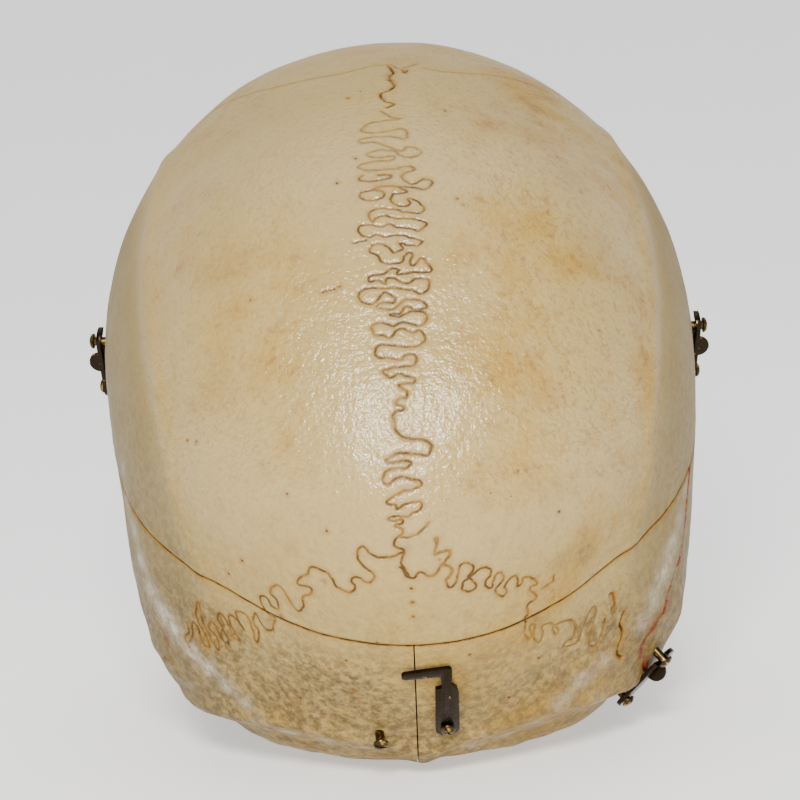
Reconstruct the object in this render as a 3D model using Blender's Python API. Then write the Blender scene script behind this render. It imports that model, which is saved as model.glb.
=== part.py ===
"""A life-size dissected human skull, as a teaching specimen is cut and hooked together.

The skull is modelled upright, with the ear-eye plane level: x runs to its left, y to its back and z up,
and the origin lies midway between the ear openings. It is then pitched back to rest on chin and occiput.
The face looks along -Y. The vault is one smooth surface stretched through named craniometric points, the
face and the jaw are fused from swept and lofted forms, and thin cuts part them into their bones.
"""

import math

import bmesh
import bpy
import numpy as np
from mathutils import Matrix, Vector
from mathutils.bvhtree import BVHTree

# Driving sizes, in metres
GAP = 0.0003
CRANIUM_VOXEL = 0.0016
JAW_VOXEL = 0.0014
CRANIUM_TRIANGLES = 5400
JAW_TRIANGLES = 1000
REST_PITCH = math.radians(27.5)
EAR_POINT_IN_WORLD = (0.0, 0.0068, 0.0443)
CAP_SAW_HEIGHT = 0.0395
CAP_SAW_RISE = 0.055
CAP_SAW_BACK = 0.089
BLOCK_SAW_GAP = 0.001

VAULT_CENTRE = np.array((0.0, 0.0, 0.045))
MIDLINE_POINTS = {
    "glabella": (0.0, -0.096, 0.034),
    "metopion": (0.0, -0.094, 0.060),
    "upper_forehead": (0.0, -0.076, 0.088),
    "bregma": (0.0, -0.021, 0.115),
    "vertex": (0.0, 0.012, 0.117),
    "obelion": (0.0, 0.052, 0.1025),
    "lambda": (0.0, 0.087, 0.066),
    "opisthocranion": (0.0, 0.089, 0.036),
    "inion": (0.0, 0.080, 0.002),
    "nuchal_plane": (0.0, 0.062, -0.017),
    "opisthion": (0.0, 0.040, -0.027),
    "basion": (0.0, 0.004, -0.026),
    "hormion": (0.0, -0.022, -0.008),
    "ethmoid": (0.0, -0.055, 0.014),
    "nasion": (0.0, -0.086, 0.024),
}
PAIRED_POINTS = {
    "frontal_eminence": (0.0335, -0.084, 0.066),
    "frontotemporale": (0.049, -0.069, 0.044),
    "brow_end": (0.041, -0.080, 0.034),
    "pterion": (0.060, -0.040, 0.030),
    "stephanion": (0.0545, -0.021, 0.089),
    "parietal_eminence": (0.056, 0.035, 0.0795),
    "euryon": (0.0665, 0.022, 0.052),
    "supramastoid": (0.0605, 0.008, 0.013),
    "porion": (0.057, 0.0, 0.0),
    "asterion": (0.058, 0.049, 0.003),
    "cerebellar_bulge": (0.028, 0.055, -0.019),
    "occipital_side": (0.043, 0.0665, 0.035),
    "parieto_occipital": (0.0395, 0.0685, 0.068),
    "temporal_floor": (0.044, -0.015, -0.014),
    "infratemporal": (0.0395, -0.038, -0.004),
    "base_side": (0.0275, 0.0, -0.022),
    "orbit_roof": (0.0295, -0.062, 0.030),
    "coronal_side": (0.030, -0.022, 0.107),
    "parietal_top": (0.0315, 0.020, 0.110),
}

# Sutures and saw cuts in side view (y, z), seen from above (x, y) or from behind (x, z), for the left side
FACE_SUTURE = 0.0252
SAGITTAL_SUTURE = 0.0015
CORONAL_FRONT = [
    (-0.0410, 0.0300), (-0.0220, 0.1200), (-0.0220, 0.1500), (-0.1300, 0.1500), (-0.1300, 0.0300),
]
FRONTAL_BASE = [
    (-0.0410, 0.0300), (-0.0347, 0.0600), (-0.1300, 0.0600), (-0.1300, FACE_SUTURE), (-0.0410, FACE_SUTURE),
]
LAMBDOID_CAP = [
    (0.0015, 0.0665), (0.0130, 0.0585), (0.0225, 0.0505), (0.0305, 0.0410), (0.0330, 0.0300),
    (-0.0330, 0.0300), (-0.0305, 0.0410), (-0.0225, 0.0505), (-0.0130, 0.0585),
]
PARIETAL_CORNER = [
    (0.0305, 0.0700), (0.0305, 0.0410), (0.0400, 0.0300), (0.0480, 0.0220), (0.0585, 0.0030),
    (0.0900, 0.0030), (0.0900, 0.0700),
]
SQUAMOSAL = [
    (-0.0395, 0.0300), (-0.0280, 0.0330), (-0.0100, 0.0340), (0.0100, 0.0330), (0.0260, 0.0270),
    (0.0380, 0.0170), (0.0490, 0.0040),
]
TEMPORAL_FRONT = [(-0.0550, -0.0600), (-0.0550, 0.0300)]
MASTOID_BACK = [(0.0400, -0.0120), (0.0340, -0.0220), (0.0340, -0.0600)]
BLOCK_OUTLINE = [
    (-0.0550, -0.0600), (-0.0550, 0.0600), (0.0240, 0.0600), (0.0345, 0.0440), (0.0450, 0.0280),
    (0.0530, 0.0205), (0.0600, 0.0110), (0.0560, 0.0000), (0.0480, -0.0100), (0.0380, -0.0200),
    (0.0360, -0.0600),
]
SPHENOID_OUTLINE = [
    (-0.0700, -0.0600), (-0.0700, FACE_SUTURE), (-0.0405, FACE_SUTURE), (-0.0385, 0.0300), (-0.0350, 0.0280),
    (-0.0300, 0.0100), (-0.0260, -0.0050), (-0.0225, -0.0600),
]
MAXILLA_OUTLINE = [
    (-0.1200, -0.0600), (-0.1200, FACE_SUTURE), (-0.0455, FACE_SUTURE), (-0.0455, -0.0080),
    (-0.0425, -0.0600),
]
ZYGOMATIC_OUTLINE = [(0.0370, -0.1200), (0.0750, -0.1200), (0.0750, -0.0560), (0.0370, -0.0560)]
ARCH_OUTLINE = [(0.0500, -0.0620), (0.0750, -0.0620), (0.0750, -0.0360), (0.0500, -0.0360)]
NASAL_OUTLINE = [
    (-0.0010, 0.0252), (0.0050, 0.0252), (0.0062, 0.0120), (0.0085, -0.0010), (-0.0010, -0.0010),
]

# Teeth from the front to the last molar, in metres: middle line of the arch, widths, depths, crown ends
TOOTH_ROOT = 0.003
UPPER_ARCH = [
    (0.0, -0.0930), (0.0095, -0.0915), (0.0180, -0.0860), (0.0245, -0.0760), (0.0280, -0.0600),
    (0.0290, -0.0400),
]
UPPER_WIDTHS = [0.0085, 0.0066, 0.0076, 0.0070, 0.0068, 0.0103, 0.0096, 0.0084]
UPPER_DEPTHS = [0.0070, 0.0062, 0.0080, 0.0090, 0.0092, 0.0112, 0.0112, 0.0102]
UPPER_NECKS = [-0.0425, -0.0423, -0.0422, -0.0422, -0.0422, -0.0422, -0.0420, -0.0415]
UPPER_TIPS = [-0.0528, -0.0520, -0.0527, -0.0505, -0.0500, -0.0496, -0.0492, -0.0485]
LOWER_ARCH = [
    (0.0, -0.0885), (0.0070, -0.0868), (0.0135, -0.0825), (0.0200, -0.0740), (0.0252, -0.0600),
    (0.0285, -0.0460), (0.0305, -0.0300),
]
LOWER_WIDTHS = [0.0054, 0.0059, 0.0069, 0.0070, 0.0071, 0.0110, 0.0105, 0.0098]
LOWER_DEPTHS = [0.0060, 0.0063, 0.0074, 0.0077, 0.0080, 0.0103, 0.0100, 0.0095]
LOWER_NECKS = [-0.0585, -0.0585, -0.0585, -0.0580, -0.0575, -0.0570, -0.0560, -0.0545]
LOWER_TIPS = [-0.0510, -0.0510, -0.0512, -0.0511, -0.0507, -0.0503, -0.0499, -0.0492]

# Hook latches: plates, screws and posts
HOOK_HALF_WIDTH = 0.0023
HOOK_THICKNESS = 0.001
LONG_PLATE_HALF_WIDTH = 0.00285
TAB_RADIUS = 0.0026
SCREW_RADIUS = 0.0009
SCREW_DEPTH = 0.006
POST_RADIUS = 0.00105
LEFT_HOOK_SCREW = (0.0650, -0.0120, 0.0388)
LEFT_HOOK_POST = (0.0640, -0.0120, 0.0520)
RIGHT_HOOK_SCREW = (-0.0655, -0.0055, 0.0384)
RIGHT_HOOK_POST = (-0.0645, -0.0055, 0.0516)
BACK_HOOK_SCREW = (-0.0047, 0.0838, 0.0125)
BACK_HOOK_END = (-0.0047, 0.0882, 0.0337)
BACK_HOOK_POST = (0.0104, 0.0815, 0.0090)
BLOCK_HOOK_SCREW = (-0.0461, 0.0561, -0.0071)
BLOCK_HOOK_POST = (-0.0535, 0.0545, 0.0050)

BONE_COLOUR = (0.66, 0.57, 0.42, 1.0)
BRASS_COLOUR = (0.16, 0.11, 0.05, 1.0)
POST_COLOUR = (0.30, 0.21, 0.09, 1.0)


def material(name, colour, roughness, metallic=0.0):
    """A Principled material of that colour."""
    made = bpy.data.materials.new(name)
    made.use_nodes = True
    shader = made.node_tree.nodes["Principled BSDF"]
    shader.inputs["Base Color"].default_value = colour
    shader.inputs["Roughness"].default_value = roughness
    shader.inputs["Metallic"].default_value = metallic
    made.diffuse_color = colour
    return made


def mesh_object(name, vertices, faces):
    """A mesh object from points and faces, with its faces turned outwards."""
    mesh = bpy.data.meshes.new(name)
    mesh.from_pydata([tuple(map(float, v)) for v in vertices], [], faces)
    work = bmesh.new()
    work.from_mesh(mesh)
    bmesh.ops.recalc_face_normals(work, faces=work.faces)
    work.to_mesh(mesh)
    work.free()
    made = bpy.data.objects.new(name, mesh)
    bpy.context.scene.collection.objects.link(made)
    return made


def remove(objects):
    """Takes helper objects out of the scene."""
    for helper in objects:
        bpy.data.objects.remove(helper)


def apply_modifiers(target):
    """Replaces the object's mesh by what its modifiers make of it."""
    bpy.context.view_layer.update()
    graph = bpy.context.evaluated_depsgraph_get()
    finished = bpy.data.meshes.new_from_object(target.evaluated_get(graph))
    target.modifiers.clear()
    target.data = finished
    return target


def largest_body(target):
    """Keeps only the largest closed surface of a mesh, by the volume of its box."""
    work = bmesh.new()
    work.from_mesh(target.data)
    left = set(work.verts)
    bodies = []
    while left:
        start = left.pop()
        body, edge = [start], [start]
        while edge:
            vertex = edge.pop()
            for link in vertex.link_edges:
                other = link.other_vert(vertex)
                if other in left:
                    left.remove(other)
                    body.append(other)
                    edge.append(other)
        bodies.append(body)
    if len(bodies) > 1:
        spans = [np.ptp(np.array([v.co for v in body]), axis=0).prod() for body in bodies]
        keep = int(np.argmax(spans))
        dropped = [v for i, body in enumerate(bodies) if i != keep for v in body]
        bmesh.ops.delete(work, geom=dropped, context="VERTS")
        work.to_mesh(target.data)
    work.free()
    return target


def boolean(target, other, operation="DIFFERENCE", keep_all=False):
    """Cuts, intersects or joins target with other, and keeps one closed body."""
    step = target.modifiers.new(operation.lower(), "BOOLEAN")
    step.operation = operation
    step.object = other
    step.solver = "EXACT"
    apply_modifiers(target)
    return target if keep_all else largest_body(target)


def copy_of(source, name):
    """An object of its own with the same mesh data, copied."""
    made = bpy.data.objects.new(name, source.data.copy())
    bpy.context.scene.collection.objects.link(made)
    return made


def joined(name, objects):
    """Puts the closed pieces into one mesh, without joining their surfaces yet."""
    work = bmesh.new()
    for piece in objects:
        piece.data.transform(piece.matrix_basis)
        piece.matrix_basis = Matrix.Identity(4)
        work.from_mesh(piece.data)
    mesh = bpy.data.meshes.new(name)
    work.to_mesh(mesh)
    work.free()
    remove(objects)
    made = bpy.data.objects.new(name, mesh)
    bpy.context.scene.collection.objects.link(made)
    return made


def fuse(target, voxel, smoothing):
    """Melts overlapping closed pieces into one smooth surface."""
    melt = target.modifiers.new("melt", "REMESH")
    melt.mode = "VOXEL"
    melt.voxel_size = voxel
    if smoothing:
        soften = target.modifiers.new("soften", "SMOOTH")
        soften.factor = 0.5
        soften.iterations = smoothing
    return largest_body(apply_modifiers(target))


def thin_out(target, triangles):
    """Brings a dense surface down to about that many triangles."""
    target.data.calc_loop_triangles()
    now = len(target.data.loop_triangles)
    collapse = target.modifiers.new("thin out", "DECIMATE")
    collapse.ratio = min(1.0, triangles / now)
    collapse.use_collapse_triangulate = True
    return largest_body(apply_modifiers(target))


def mirrored(point):
    """The same point on the skull's other side."""
    return (-point[0], *point[1:])


def smooth_path(stations, steps):
    """A smooth curve through rows of numbers, with that many steps between two of them."""
    rows = np.array(stations, float)
    ends = np.vstack((2 * rows[0] - rows[1], rows, 2 * rows[-1] - rows[-2]))
    curve = []
    for i in range(1, len(ends) - 2):
        a, b, c, d = ends[i - 1 : i + 3]
        for t in np.arange(steps) / steps:
            bend = (2 * a - 5 * b + 4 * c - d) * t**2 + (3 * b - a - 3 * c + d) * t**3
            curve.append(0.5 * (2 * b + (c - a) * t + bend))
    curve.append(rows[-1])
    return np.array(curve)


def rounded_ring(centre, across, upright, sides, squareness=2.0):
    """A ring of points round centre: an ellipse, or squarer where squareness passes 2."""
    turn = 2 * np.pi * np.arange(sides) / sides
    u = np.sign(np.cos(turn)) * np.abs(np.cos(turn)) ** (2 / squareness)
    v = np.sign(np.sin(turn)) * np.abs(np.sin(turn)) ** (2 / squareness)
    return np.array(centre) + u[:, None] * np.array(across) + v[:, None] * np.array(upright)


def skin(name, rings):
    """A closed body stretched over a row of rings, with flat ends."""
    sides = len(rings[0])
    vertices = np.vstack(rings)
    faces = [list(range(sides)), list(range(len(vertices) - 1, len(vertices) - sides - 1, -1))]
    for row in range(len(rings) - 1):
        for i in range(sides):
            j = (i + 1) % sides
            faces.append([row * sides + i, row * sides + j, (row + 1) * sides + j, (row + 1) * sides + i])
    return mesh_object(name, vertices, faces)


def swept(name, stations, sides=14, steps=4, up=(0.0, 0.0, 1.0), squareness=2.0):
    """A bar along a smooth path. A station is x, y, z, half thickness and half height."""
    rows = smooth_path(stations, steps)
    centres = rows[:, :3]
    tangents = np.gradient(centres, axis=0)
    rings = []
    for row, tangent in zip(rows, tangents):
        tangent = tangent / np.linalg.norm(tangent)
        across = np.cross(tangent, up)
        across /= np.linalg.norm(across)
        upright = np.cross(across, tangent)
        rings.append(rounded_ring(row[:3], across * row[3], upright * row[4], sides, squareness))
    return skin(name, rings)


def ellipsoid(name, centre, radii, turn=(0.0, 0.0, 0.0), segments=20):
    """An ellipsoid at its place, turned by the three angles in degrees."""
    work = bmesh.new()
    bmesh.ops.create_uvsphere(work, u_segments=segments, v_segments=segments // 2, radius=1.0)
    mesh = bpy.data.meshes.new(name)
    work.to_mesh(mesh)
    work.free()
    turned = Matrix.Identity(3)
    for angle, axis in zip(turn, "XYZ"):
        turned = Matrix.Rotation(math.radians(angle), 3, axis) @ turned
    mesh.transform(Matrix.Translation(centre) @ turned.to_4x4() @ Matrix.Diagonal((*radii, 1.0)))
    made = bpy.data.objects.new(name, mesh)
    bpy.context.scene.collection.objects.link(made)
    return made


def prism(name, outline, plane, low, high, grow=0.0):
    """A straight prism over an outline. plane names the outline's two axes, such as "yz", and low and
    high are its ends along the third. grow pushes every side out by that much."""
    points = np.array(outline, float)
    following = np.roll(points, -1, axis=0)
    area = (points[:, 0] * following[:, 1] - following[:, 0] * points[:, 1]).sum()
    if area < 0:
        points = points[::-1]
    if grow:
        normals = []
        for edge in (points - np.roll(points, 1, axis=0), np.roll(points, -1, axis=0) - points):
            normals.append(np.stack((edge[:, 1], -edge[:, 0]), 1) / np.linalg.norm(edge, axis=1)[:, None])
        bisector = normals[0] + normals[1]
        points = points + grow * 2 * bisector / (bisector**2).sum(1)[:, None]
    axes = ["xyz".index(letter) for letter in plane]
    third = 3 - sum(axes)
    rings = []
    for level in (low - grow, high + grow):
        ring = np.zeros((len(points), 3))
        ring[:, axes] = points
        ring[:, third] = level
        rings.append(ring)
    return skin(name, rings)


def box(name, low, high):
    """A block between two corners."""
    outline = [(low[0], low[1]), (high[0], low[1]), (high[0], high[1]), (low[0], high[1])]
    return prism(name, outline, "xy", low[2], high[2])


class Vault:
    """The braincase: a smooth radial surface through the craniometric points."""

    def __init__(self):
        paired = [p for point in PAIRED_POINTS.values() for p in (point, mirrored(point))]
        points = np.array([*MIDLINE_POINTS.values(), *paired]) - VAULT_CENTRE
        radii = np.linalg.norm(points, axis=1)
        self.knots = points / radii[:, None]
        count = len(radii)
        flat = np.c_[np.ones(count), self.knots]
        system = np.block([[self.spread(self.knots @ self.knots.T), flat], [flat.T, np.zeros((4, 4))]])
        self.weights = np.linalg.solve(system, np.r_[radii, np.zeros(4)])

    @staticmethod
    def spread(cosine):
        """The thin-plate spread of one point's pull over the sphere of directions."""
        lift = np.clip(1 - cosine, 1e-9, None)
        return lift * np.log(lift)

    def surface(self, directions, lift=0.0):
        """The points of the surface in these directions from the vault's centre, raised by lift."""
        unit = directions / np.linalg.norm(directions, axis=1)[:, None]
        flat = np.c_[np.ones(len(unit)), unit]
        radii = self.spread(unit @ self.knots.T) @ self.weights[:-4] + flat @ self.weights[-4:]
        return VAULT_CENTRE + unit * (radii + lift)[:, None]

    def under(self, point, lift=0.0):
        """The surface point in line with a point near it."""
        return self.surface(np.array([point]) - VAULT_CENTRE, lift)[0]

    def body(self):
        """The closed braincase."""
        work = bmesh.new()
        bmesh.ops.create_icosphere(work, subdivisions=6, radius=1.0)
        directions = np.array([v.co for v in work.verts])
        for vertex, place in zip(work.verts, self.surface(directions)):
            vertex.co = place
        mesh = bpy.data.meshes.new("braincase")
        work.to_mesh(mesh)
        work.free()
        made = bpy.data.objects.new("braincase", mesh)
        bpy.context.scene.collection.objects.link(made)
        return made

    def ridge(self, name, points, radius, sunk):
        """A low ridge along the surface: a bar whose middle lies sunk below it."""
        stations = [(*self.under(point, -sunk), radius, radius) for point in points]
        return swept(name, stations, sides=10)


def both_sides(maker, name, stations, **more):
    """The same swept bar on the left and on the right."""
    return [
        maker(f"{name}_left", stations, **more),
        maker(f"{name}_right", [mirrored(s) for s in stations], **more),
    ]


def ellipsoid_pair(name, centre, radii, turn=(0.0, 0.0, 0.0)):
    """The same ellipsoid on the left and on the right."""
    return [
        ellipsoid(f"{name}_left", centre, radii, turn),
        ellipsoid(f"{name}_right", mirrored(centre), radii, (turn[0], -turn[1], -turn[2])),
    ]


def stacked(name, sections, squareness, sides=28):
    """A body over level sections. A section is z, half width, front y and back y."""
    rings = []
    for z, width, front, back in smooth_path(sections, 3):
        centre = (0.0, (front + back) / 2, z)
        rings.append(rounded_ring(centre, (width, 0, 0), (0, (back - front) / 2, 0), sides, squareness))
    return skin(name, rings)


def upright_sections(name, sections, squareness, sides=28):
    """A body over upright sections across the skull. A section is y, half width, low z and high z."""
    rings = []
    for y, width, low, high in smooth_path(sections, 3):
        centre = (0.0, y, (low + high) / 2)
        rings.append(rounded_ring(centre, (width, 0, 0), (0, 0, (high - low) / 2), sides, squareness))
    return skin(name, rings)


def vault_details(vault):
    """The low ridges and knobs of the braincase."""
    temporal_line = [
        (0.049, -0.068, 0.036), (0.047, -0.060, 0.055), (0.050, -0.038, 0.074), (0.056, -0.008, 0.084),
        (0.060, 0.022, 0.078), (0.062, 0.045, 0.055), (0.062, 0.046, 0.030), (0.062, 0.030, 0.012),
    ]
    nuchal_line = [
        (0.003, 0.081, 0.002), (0.018, 0.078, 0.007), (0.034, 0.070, 0.006), (0.047, 0.058, 0.000),
        (0.053, 0.044, -0.006), (0.054, 0.028, -0.010),
    ]
    lower_nuchal_line = [(0.002, 0.058, -0.020), (0.016, 0.056, -0.020), (0.030, 0.048, -0.020)]
    pieces = [ellipsoid("inion_knob", (0.0, 0.0785, 0.001), (0.010, 0.0034, 0.006))]
    crest = [(0, 0.078, -0.002), (0, 0.062, -0.017), (0, 0.044, -0.025)]
    pieces.append(vault.ridge("nuchal_crest", crest, 0.003, 0.002))
    for name, points, radius, sunk in (
        ("temporal_line", temporal_line, 0.0045, 0.0040),
        ("nuchal_line", nuchal_line, 0.0045, 0.0028),
        ("lower_nuchal_line", lower_nuchal_line, 0.0035, 0.0026),
    ):
        pieces.append(vault.ridge(f"{name}_left", points, radius, sunk))
        pieces.append(vault.ridge(f"{name}_right", [mirrored(p) for p in points], radius, sunk))
    return pieces


def face_pieces():
    """The upper face: brows, orbital walls, cheek bones, arches, nose and upper jaw."""
    pieces = []
    pieces += both_sides(swept, "brow", [
        (0.003, -0.0915, 0.030, 0.0055, 0.0060), (0.016, -0.0915, 0.0360, 0.0055, 0.0060),
        (0.030, -0.0880, 0.0375, 0.0048, 0.0050), (0.0425, -0.0800, 0.0335, 0.0042, 0.0045),
        (0.0500, -0.0720, 0.0250, 0.0042, 0.0045), (0.0520, -0.0695, 0.0150, 0.0042, 0.0045),
    ], up=(0.0, -1.0, 0.3))
    pieces += both_sides(swept, "cheek_post", [
        (0.0520, -0.0695, 0.0170, 0.0042, 0.0052), (0.0508, -0.0685, 0.0060, 0.0042, 0.0062),
        (0.0480, -0.0680, -0.0040, 0.0050, 0.0080),
    ], up=(0.0, -1.0, 0.0))
    pieces += ellipsoid_pair("cheek", (0.0460, -0.0670, -0.0115), (0.0130, 0.0068, 0.0120), (0, 0, 38))
    pieces += both_sides(swept, "cheek_buttress", [
        (0.0440, -0.0650, -0.0150, 0.0080, 0.0060), (0.0370, -0.0620, -0.0230, 0.0075, 0.0060),
        (0.0300, -0.0580, -0.0320, 0.0060, 0.0050),
    ], up=(0.0, -1.0, 0.0))
    pieces += both_sides(swept, "arch", [
        (0.0490, -0.0640, -0.0090, 0.0040, 0.0090), (0.0565, -0.0535, -0.0070, 0.0032, 0.0070),
        (0.0618, -0.0415, -0.0055, 0.0029, 0.0056), (0.0638, -0.0300, -0.0050, 0.0028, 0.0048),
        (0.0635, -0.0190, -0.0040, 0.0030, 0.0046), (0.0615, -0.0090, -0.0010, 0.0040, 0.0048),
        (0.0570, 0.0010, 0.0040, 0.0045, 0.0050),
    ])
    pieces += both_sides(swept, "arch_root", [
        (0.0625, -0.0160, -0.0045, 0.0035, 0.0030), (0.0560, -0.0185, -0.0060, 0.0050, 0.0038),
        (0.0440, -0.0200, -0.0075, 0.0055, 0.0042),
    ], up=(0.0, 0.0, 1.0))
    pieces += both_sides(swept, "lower_orbit_rim", [
        (0.0470, -0.0690, -0.0035, 0.0045, 0.0045), (0.0370, -0.0775, -0.0055, 0.0048, 0.0045),
        (0.0250, -0.0830, -0.0035, 0.0045, 0.0045), (0.0150, -0.0850, 0.0050, 0.0042, 0.0042),
        (0.0105, -0.0860, 0.0150, 0.0042, 0.0042), (0.0080, -0.0880, 0.0260, 0.0045, 0.0045),
    ], up=(0.0, -1.0, 0.0))
    pieces.append(upright_sections("orbit_block", [
        (-0.0830, 0.0400, -0.0060, 0.0360), (-0.0740, 0.0485, -0.0080, 0.0370),
        (-0.0640, 0.0470, -0.0085, 0.0370), (-0.0520, 0.0400, -0.0085, 0.0360),
        (-0.0400, 0.0350, -0.0090, 0.0320), (-0.0280, 0.0300, -0.0080, 0.0300),
    ], 3.2))
    pieces.append(stacked("maxilla", [
        (0.0060, 0.0220, -0.0870, -0.0440), (-0.0040, 0.0385, -0.0820, -0.0440),
        (-0.0120, 0.0385, -0.0810, -0.0440), (-0.0200, 0.0345, -0.0840, -0.0430),
        (-0.0290, 0.0330, -0.0900, -0.0415), (-0.0370, 0.0340, -0.0945, -0.0405),
        (-0.0425, 0.0330, -0.0958, -0.0410),
    ], 2.5))
    pieces.append(swept("nose_bridge", [
        (0, -0.0860, 0.0320, 0.0060, 0.0050), (0, -0.0880, 0.0230, 0.0045, 0.0040),
        (0, -0.0940, 0.0120, 0.0045, 0.0035), (0, -0.0990, 0.0035, 0.0055, 0.0032),
        (0, -0.1005, 0.0005, 0.0050, 0.0028),
    ], up=(0.0, -1.0, 0.0)))
    pieces += both_sides(swept, "nose_side", [
        (0.0055, -0.0865, 0.0260, 0.0040, 0.0040), (0.0065, -0.0895, 0.0150, 0.0040, 0.0045),
        (0.0085, -0.0915, 0.0040, 0.0035, 0.0045), (0.0125, -0.0875, -0.0060, 0.0035, 0.0042),
        (0.0150, -0.0865, -0.0160, 0.0032, 0.0036), (0.0135, -0.0880, -0.0250, 0.0032, 0.0034),
        (0.0060, -0.0910, -0.0295, 0.0034, 0.0034), (0.0005, -0.0930, -0.0285, 0.0032, 0.0034),
    ], up=(0.0, -1.0, 0.0))
    pieces.append(swept("nasal_spine", [
        (0, -0.0880, -0.0285, 0.0030, 0.0026), (0, -0.0950, -0.0270, 0.0018, 0.0018),
        (0, -0.0980, -0.0262, 0.0010, 0.0010),
    ]))
    return pieces


def base_pieces():
    """The skull's underside: mastoids, condyles, basilar part, pterygoid plates and styloids."""
    pieces = []
    pieces += both_sides(swept, "mastoid", [
        (0.0490, 0.0190, 0.0040, 0.0120, 0.0140), (0.0500, 0.0150, -0.0080, 0.0105, 0.0130),
        (0.0500, 0.0115, -0.0190, 0.0085, 0.0095), (0.0495, 0.0090, -0.0275, 0.0055, 0.0060),
        (0.0492, 0.0080, -0.0305, 0.0025, 0.0025),
    ], up=(0.0, 1.0, 0.0), sides=18)
    pieces += both_sides(swept, "ear_rim", [
        (0.0460, -0.0015, -0.0060, 0.0085, 0.0080), (0.0570, -0.0010, -0.0055, 0.0075, 0.0075),
        (0.0600, -0.0010, -0.0050, 0.0068, 0.0068),
    ], up=(0.0, 0.0, 1.0))
    pieces += both_sides(swept, "petrous", [
        (0.0520, 0.0020, -0.0100, 0.0085, 0.0090), (0.0380, 0.0000, -0.0150, 0.0085, 0.0085),
        (0.0240, -0.0070, -0.0150, 0.0070, 0.0065), (0.0130, -0.0150, -0.0120, 0.0050, 0.0050),
    ])
    pieces += ellipsoid_pair("condyle", (0.0170, 0.0080, -0.0270), (0.0055, 0.0115, 0.0058), (0, -18, -22))
    pieces.append(swept("basilar_part", [
        (0, 0.0060, -0.0245, 0.0140, 0.0040), (0, -0.0060, -0.0185, 0.0115, 0.0055),
        (0, -0.0200, -0.0090, 0.0110, 0.0065), (0, -0.0340, -0.0020, 0.0120, 0.0080),
    ]))
    pieces += both_sides(swept, "outer_pterygoid_plate", [
        (0.0190, -0.0360, -0.0040, 0.0022, 0.0065), (0.0185, -0.0370, -0.0180, 0.0019, 0.0070),
        (0.0200, -0.0360, -0.0290, 0.0017, 0.0055), (0.0205, -0.0365, -0.0345, 0.0014, 0.0030),
    ], up=(0.0, 1.0, 0.0))
    pieces += both_sides(swept, "inner_pterygoid_plate", [
        (0.0130, -0.0390, -0.0060, 0.0020, 0.0045), (0.0125, -0.0410, -0.0200, 0.0017, 0.0042),
        (0.0130, -0.0420, -0.0320, 0.0015, 0.0025), (0.0150, -0.0400, -0.0365, 0.0014, 0.0014),
    ], up=(0.0, 1.0, 0.0))
    pieces += both_sides(swept, "styloid", [
        (0.0350, -0.0010, -0.0160, 0.0036, 0.0036), (0.0340, -0.0040, -0.0260, 0.0022, 0.0022),
        (0.0315, -0.0080, -0.0380, 0.0017, 0.0017), (0.0300, -0.0105, -0.0450, 0.0012, 0.0012),
    ], up=(0.0, 1.0, 0.0))
    return pieces


def orbit_cutter(side):
    """The hollow of one eye socket, from its apex out through the rim."""
    apex = np.array((0.0120 * side, -0.0440, 0.0175))
    axis = np.array((0.41 * side, -0.912, -0.02))
    axis /= np.linalg.norm(axis)
    across = np.cross(axis, (0.0, 0.0, 1.0))
    across /= np.linalg.norm(across)
    upright = np.cross(across, axis)
    depths = (
        (0.000, 0.0035, 0.0035), (0.010, 0.0090, 0.0095), (0.022, 0.0150, 0.0145), (0.033, 0.0188, 0.0170),
        (0.041, 0.0192, 0.0168), (0.050, 0.0205, 0.0178), (0.064, 0.0240, 0.0205), (0.082, 0.0300, 0.0250),
    )
    rings = []
    for depth, wide, high in smooth_path(depths, 2):
        rings.append(rounded_ring(apex + axis * depth, across * wide, upright * high, 24, 2.5))
    return skin("orbit_cutter", rings)


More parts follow.
